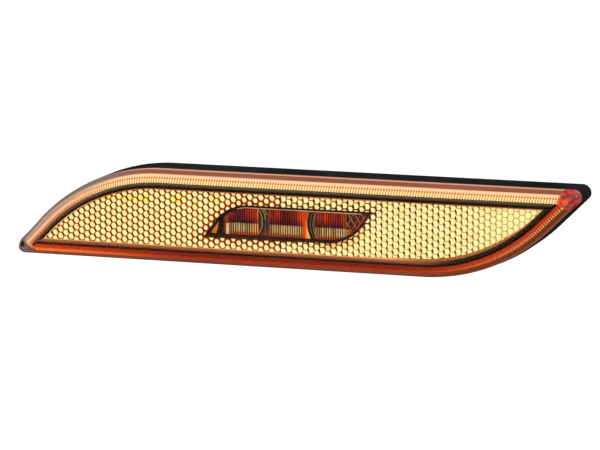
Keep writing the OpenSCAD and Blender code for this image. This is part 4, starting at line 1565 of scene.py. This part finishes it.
    def lit_edge(self, window, inset, front):
        """A thin pale line where the optic's edge catches light under the upper rim."""
        def section(run):
            far = inset + 0.34 * MM
            return [
                (inset, front - 0.3 * MM), (inset, front), (inset + 0.2 * MM, front + 0.04 * MM),
                (far, front), (far, front - 0.3 * MM)]

        material = solid_material(
            "Optic edge", (196, 150, 112), (238, 206, 160), 0.3, 800.0, bump=0.0, specular=0.1)
        end = window.flat + 0.3 * window.turn
        bm = swept(window, True, 3.5 * MM, end, self.LIP_STEP, section)
        piece("optic_edge", bm, material)

    def lip(self, window, front):
        """Brown lip of the frame over the edge of the reflector's hole, wide along the bottom."""
        def section(run):
            bend = smooth(0.5 * window.flat, window.flat, run)
            wide = blend(self.LIP_WIDTH, self.LIP_NARROW, bend)
            return [
                (0.15 * MM, front - 0.4 * MM), (0.15 * MM, front), (0.0, front + 0.08 * MM),
                (-wide + 0.1 * MM, front + 0.06 * MM), (-wide, front - 0.05 * MM),
                (-wide, front - 0.4 * MM)]

        material = solid_material(
            "Frame lip", (52, 18, 6), (78, 34, 12), 0.4, 900.0, specular=0.03)
        bm = swept(window, False, 0.0, window.length, self.LIP_STEP, section)
        piece("frame_lip", bm, material)

    def fluted(self, optic, front, rear, left, right):
        """The fluted optic, cut to its outline and with its side wall."""
        bm = bmesh.new()
        columns = round(2 * optic.point.x / self.COLUMN)
        bmesh.ops.create_grid(bm, x_segments=columns, y_segments=self.ROWS, size=0.5)
        for v in bm.verts:
            across = Vector((v.co.x * 2 * (optic.point.x + LEAST_TIP), v.co.y * 2 * optic.half))
            v.co = place(optic.centre + across, front)
        outside = [f for f in bm.faces if optic.depth(face_point(f.calc_center_median()))[0] < 0]
        bmesh.ops.delete(bm, geom=outside, context="FACES")
        tone = bm.verts.layers.float_color.new("tone")
        for v in bm.verts:
            p = face_point(v.co)
            colour = self.tone(p / MM, left, right)
            # Shade of the frame along the upper and left edge
            if p.x < -10 * MM and p.y > -4.6 * MM:
                lit = smooth(0.3 * MM, 0.6 * MM, optic.depth(p)[0])
                colour = blend(paint(24, 14, 10), colour, lit)
            v[tone] = (*colour, 1.0)
            v.co = place(keep_in(p, optic, 0.01 * MM), front - self.drop(p))
        rim = [e for e in bm.edges if e.is_boundary]
        made = bmesh.ops.extrude_edge_only(bm, edges=rim)
        for v in made["geom"]:
            if isinstance(v, bmesh.types.BMVert):
                v.co.y = -rear
        bmesh.ops.recalc_face_normals(bm, faces=bm.faces)
        return bm

    def execute(self, context):
        window = window_leaf()
        ledge = window.half - half_height("fluted_optic") - self.LEDGE_CLEAR
        self.rim_frame(window, front_of("reflector_bank"), ledge)
        inset = ledge - self.OVERLAP
        front, rear = front_of("fluted_optic"), rear_of("fluted_optic")
        boxes = [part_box(node) for node in ("led_left", "led_right")]
        middles = [(low.x + high.x) / 2 / MM for low, high in boxes]
        bm = self.fluted(window.inset(inset), front, rear, *middles)
        piece("window_optic", bm, optic_material(), "fluted_optic", angle=60)
        self.lit_edge(window, inset - self.EDGE_LAP, front + self.EDGE_LIFT)
        self.lip(window, front_of("reflex_reflector"))
        return {"FINISHED"}


class LAMP_OT_lens(bpy.types.Operator):
    """Clear lens over the whole face"""

    bl_idname = "lamp.lens"
    bl_label = "Outer Lens"

    # The wall's thickness, and how far off the inner wall a point still counts as it
    WALL = 1.5 * MM
    SLACK = 0.05 * MM
    # The foot is moved this little off the housing's edge, so the two don't coincide
    FOOT_LAP = 0.02 * MM
    # How much further out the inner wall lies, up to this depth inside the outline
    FURTHER = 0.3 * MM
    INNER_DEPTH = 2.4 * MM
    # How much further in the left tip's rounder shoulder lies, and where that starts and is full
    TIP_SHIFT = 1.1 * MM
    TIP_START, TIP_FULL = -96 * MM, -105 * MM

    def execute(self, context):
        bm = merged("outer_lens")
        body = body_leaf()
        base, front = front_of("rear_housing"), front_of("outer_lens")
        inside = inset_of("outer_lens") + self.WALL

        def rim(co):
            behind = -co.y < front - self.WALL + self.SLACK
            if behind and body.depth(face_point(co))[0] > inside - self.SLACK:
                return 1.0
            return span(base, front, -co.y)

        mark(bm, "rim", rim)
        mark_half(bm, body)
        mark(bm, "along", lambda co: body.run_of(face_point(co))[0] / MM)
        share = bm.verts.layers.float["rim"]
        for v in bm.verts:
            p = face_point(v.co)
            depth, out = body.depth(p)
            if abs(-v.co.y - base) < 0.01 * MM:
                v.co.y = -base - self.FOOT_LAP
            elif v[share] == 1.0 and depth < self.INNER_DEPTH and -v.co.y < front - self.WALL:
                p = p + self.FURTHER * out
            shoulder = smooth(-0.3, 0.8, v[share])
            p.x += self.TIP_SHIFT * smooth(self.TIP_START, self.TIP_FULL, p.x) * shoulder
            v.co = place(p, -v.co.y)
        piece("clear_lens", bm, lens_material(), "outer_lens", angle=32)
        return {"FINISHED"}


class LAMP_OT_rear_fittings(bpy.types.Operator):
    """Gasket, inserts, membrane and contact pins on the rear side"""

    bl_idname = "lamp.rear_fittings"
    bl_label = "Rear Fittings"

    def execute(self, context):
        brass = solid_material(
            "Insert brass", (168, 128, 58), (214, 178, 96), 0.3, 700.0, metallic=1.0)
        foam = solid_material(
            "Gasket foam", (34, 34, 36), (62, 62, 66), 0.9, 2600.0, bump=0.8, specular=0.2)
        film = solid_material(
            "Membrane film", (206, 210, 214), (236, 238, 240), 0.7, 2400.0, bump=0.3)
        tin = solid_material(
            "Pin plating", (178, 166, 140), (214, 206, 184), 0.25, 800.0, metallic=1.0)
        steel = solid_material(
            "Screw steel", (150, 152, 156), (200, 202, 206), 0.3, 900.0, metallic=1.0)
        softened("threaded_inserts", "insert_pair", brass, 0.12 * MM)
        softened("body_gasket", "foam_gasket", foam, 0.15 * MM)
        softened("vent_membrane", "vent_film", film, 0.05 * MM)
        for node in ("supply_pin", "ground_pin"):
            softened(node, node + "_plated", tin, 0.08 * MM)
        softened("board_screws", "screw_set", steel, 0.08 * MM)
        return {"FINISHED"}


class LAMP_OT_electronics(bpy.types.Operator):
    """Board, diodes and small parts inside"""

    bl_idname = "lamp.electronics"
    bl_label = "Electronics"

    def execute(self, context):
        board = solid_material(
            "Board lacquer", (18, 74, 38), (38, 112, 60), 0.35, 400.0, coat=0.3)
        diode = solid_material(
            "Diode ceramic", (226, 220, 198), (248, 244, 226), 0.4, 1500.0)
        chip = solid_material(
            "Chip resin", (28, 28, 30), (46, 46, 48), 0.5, 2200.0)
        capacitor = solid_material(
            "Capacitor body", (176, 136, 74), (206, 168, 100), 0.45, 1600.0)
        finishes = {
            board: ["circuit_board"],
            diode: ["led_left", "led_centre", "led_right", "left_guide_led", "right_guide_led"],
            chip: ["driver_chip", "ballast_resistors", "protection_diode"],
            capacitor: ["smoothing_capacitor"],
        }
        for material, nodes in finishes.items():
            for node in nodes:
                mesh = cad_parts[node].data
                mesh.materials.clear()
                mesh.materials.append(material)
        return {"FINISHED"}


class LAMP_OT_stage(bpy.types.Operator):
    """Pale floor, soft light and the camera"""

    bl_idname = "lamp.stage"
    bl_label = "Stage"

    CAMERA = Vector((0.3742, -1.11765, 0.2016))
    AIM = Vector((0.0043, -0.01685, -0.00035))
    FOCAL_LENGTH, SENSOR = 200, 36
    # Softboxes: place, width and height
    KEY = ((-0.7, -1.0, 1.3), 1.2, 0.8)
    FILL = ((1.1, -1.2, 0.3), 0.6, 0.9)
    FLOOR_HALF = 8.0

    def seen_mask(self, tree):
        """1 for rays from the camera, from gloss and through glass."""
        path = add(tree, "LightPath").outputs
        seen = plus(tree, path["Is Camera Ray"], path["Is Glossy Ray"])
        return math_node(tree, "ADD", seen, path["Is Transmission Ray"], clamp=True)

    def softbox(self, name, spot, width, height, power):
        light = bpy.data.lights.new(name, "AREA")
        light.shape = "RECTANGLE"
        light.size, light.size_y, light.energy = width, height, power
        obj = bpy.data.objects.new(name, light)
        obj.location = spot
        obj.rotation_euler = (-Vector(spot)).to_track_quat("-Z", "Y").to_euler()
        obj.visible_glossy = False
        bpy.context.scene.collection.objects.link(obj)

    def floor(self, stage):
        bm = bmesh.new()
        bmesh.ops.create_grid(bm, x_segments=1, y_segments=1, size=self.FLOOR_HALF)
        bmesh.ops.translate(bm, verts=bm.verts, vec=(0, 0, -stage.floor))
        mesh = bpy.data.meshes.new("floor")
        bm.to_mesh(mesh)
        bm.free()
        material, tree = new_material("Pale floor")
        plain = add(tree, "BsdfDiffuse", {"Color": (0.8, 0.8, 0.8)})
        glow = add(tree, "Emission", {"Color": (1.0, 1.0, 1.0), "Strength": 0.8})
        shade = add(tree, "BsdfDiffuse", {"Color": (0.32, 0.32, 0.32)})
        lit = add(tree, "AddShader", {0: glow.outputs[0], 1: shade.outputs[0]})
        mix = add(tree, "MixShader", {
            0: self.seen_mask(tree), 1: plain.outputs[0], 2: lit.outputs[0]})
        mesh.materials.append(finished(material, mix.outputs[0]))
        obj = bpy.data.objects.new("floor", mesh)
        bpy.context.scene.collection.objects.link(obj)

    def world(self, stage):
        world = bpy.data.worlds.new("Even light")
        world.use_nodes = True
        tree = world.node_tree
        tree.nodes.clear()
        strength = add(tree, "Mix", {0: self.seen_mask(tree), 2: stage.world, 3: 1.0})
        back = add(tree, "Background", {"Color": (1.0, 1.0, 1.0), "Strength": strength.outputs[0]})
        out = tree.nodes.new("ShaderNodeOutputWorld")
        tree.links.new(back.outputs[0], out.inputs[0])
        bpy.context.scene.world = world

    def camera(self):
        data = bpy.data.cameras.new("camera")
        data.lens, data.sensor_width = self.FOCAL_LENGTH, self.SENSOR
        obj = bpy.data.objects.new("camera", data)
        obj.location = self.CAMERA
        obj.rotation_euler = (self.AIM - self.CAMERA).to_track_quat("-Z", "Y").to_euler()
        bpy.context.scene.collection.objects.link(obj)
        bpy.context.scene.camera = obj

    def execute(self, context):
        stage = settings("stage")
        context.scene.view_settings.view_transform = "Standard"
        self.floor(stage)
        self.world(stage)
        self.softbox("key_softbox", *self.KEY, stage.key)
        self.softbox("fill_softbox", *self.FILL, stage.fill)
        self.camera()
        return {"FINISHED"}


OPERATORS = [
    LAMP_OT_housing, LAMP_OT_bezel, LAMP_OT_guides, LAMP_OT_tip_blocks, LAMP_OT_reflector,
    LAMP_OT_window, LAMP_OT_lens, LAMP_OT_rear_fittings, LAMP_OT_electronics, LAMP_OT_stage,
]


class LAMP_PT_panel(bpy.types.Panel):
    """Lists the lamp's pieces and their settings"""

    bl_idname = "LAMP_PT_panel"
    bl_label = "Side Marker Lamp"
    bl_space_type = "VIEW_3D"
    bl_region_type = "UI"
    bl_category = "Lamp"

    def draw(self, context):
        for operator in OPERATORS:
            self.layout.operator(operator.bl_idname)
        for name, group in GROUPS.items():
            box = self.layout.box()
            for key in group.__annotations__:
                box.prop(getattr(context.scene, name), key)


def register():
    for group in GROUPS.values():
        bpy.utils.register_class(group)
    for name, group in GROUPS.items():
        setattr(bpy.types.Scene, name, PointerProperty(type=group))
    for operator in OPERATORS:
        bpy.utils.register_class(operator)
    bpy.utils.register_class(LAMP_PT_panel)


def unregister():
    bpy.utils.unregister_class(LAMP_PT_panel)
    for operator in reversed(OPERATORS):
        bpy.utils.unregister_class(operator)
    for name, group in GROUPS.items():
        delattr(bpy.types.Scene, name)
        bpy.utils.unregister_class(group)


def main():
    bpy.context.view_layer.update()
    register()
    for operator in OPERATORS:
        group, name = operator.bl_idname.split(".")
        getattr(getattr(bpy.ops, group), name)()


if __name__ == "__main__":
    main()
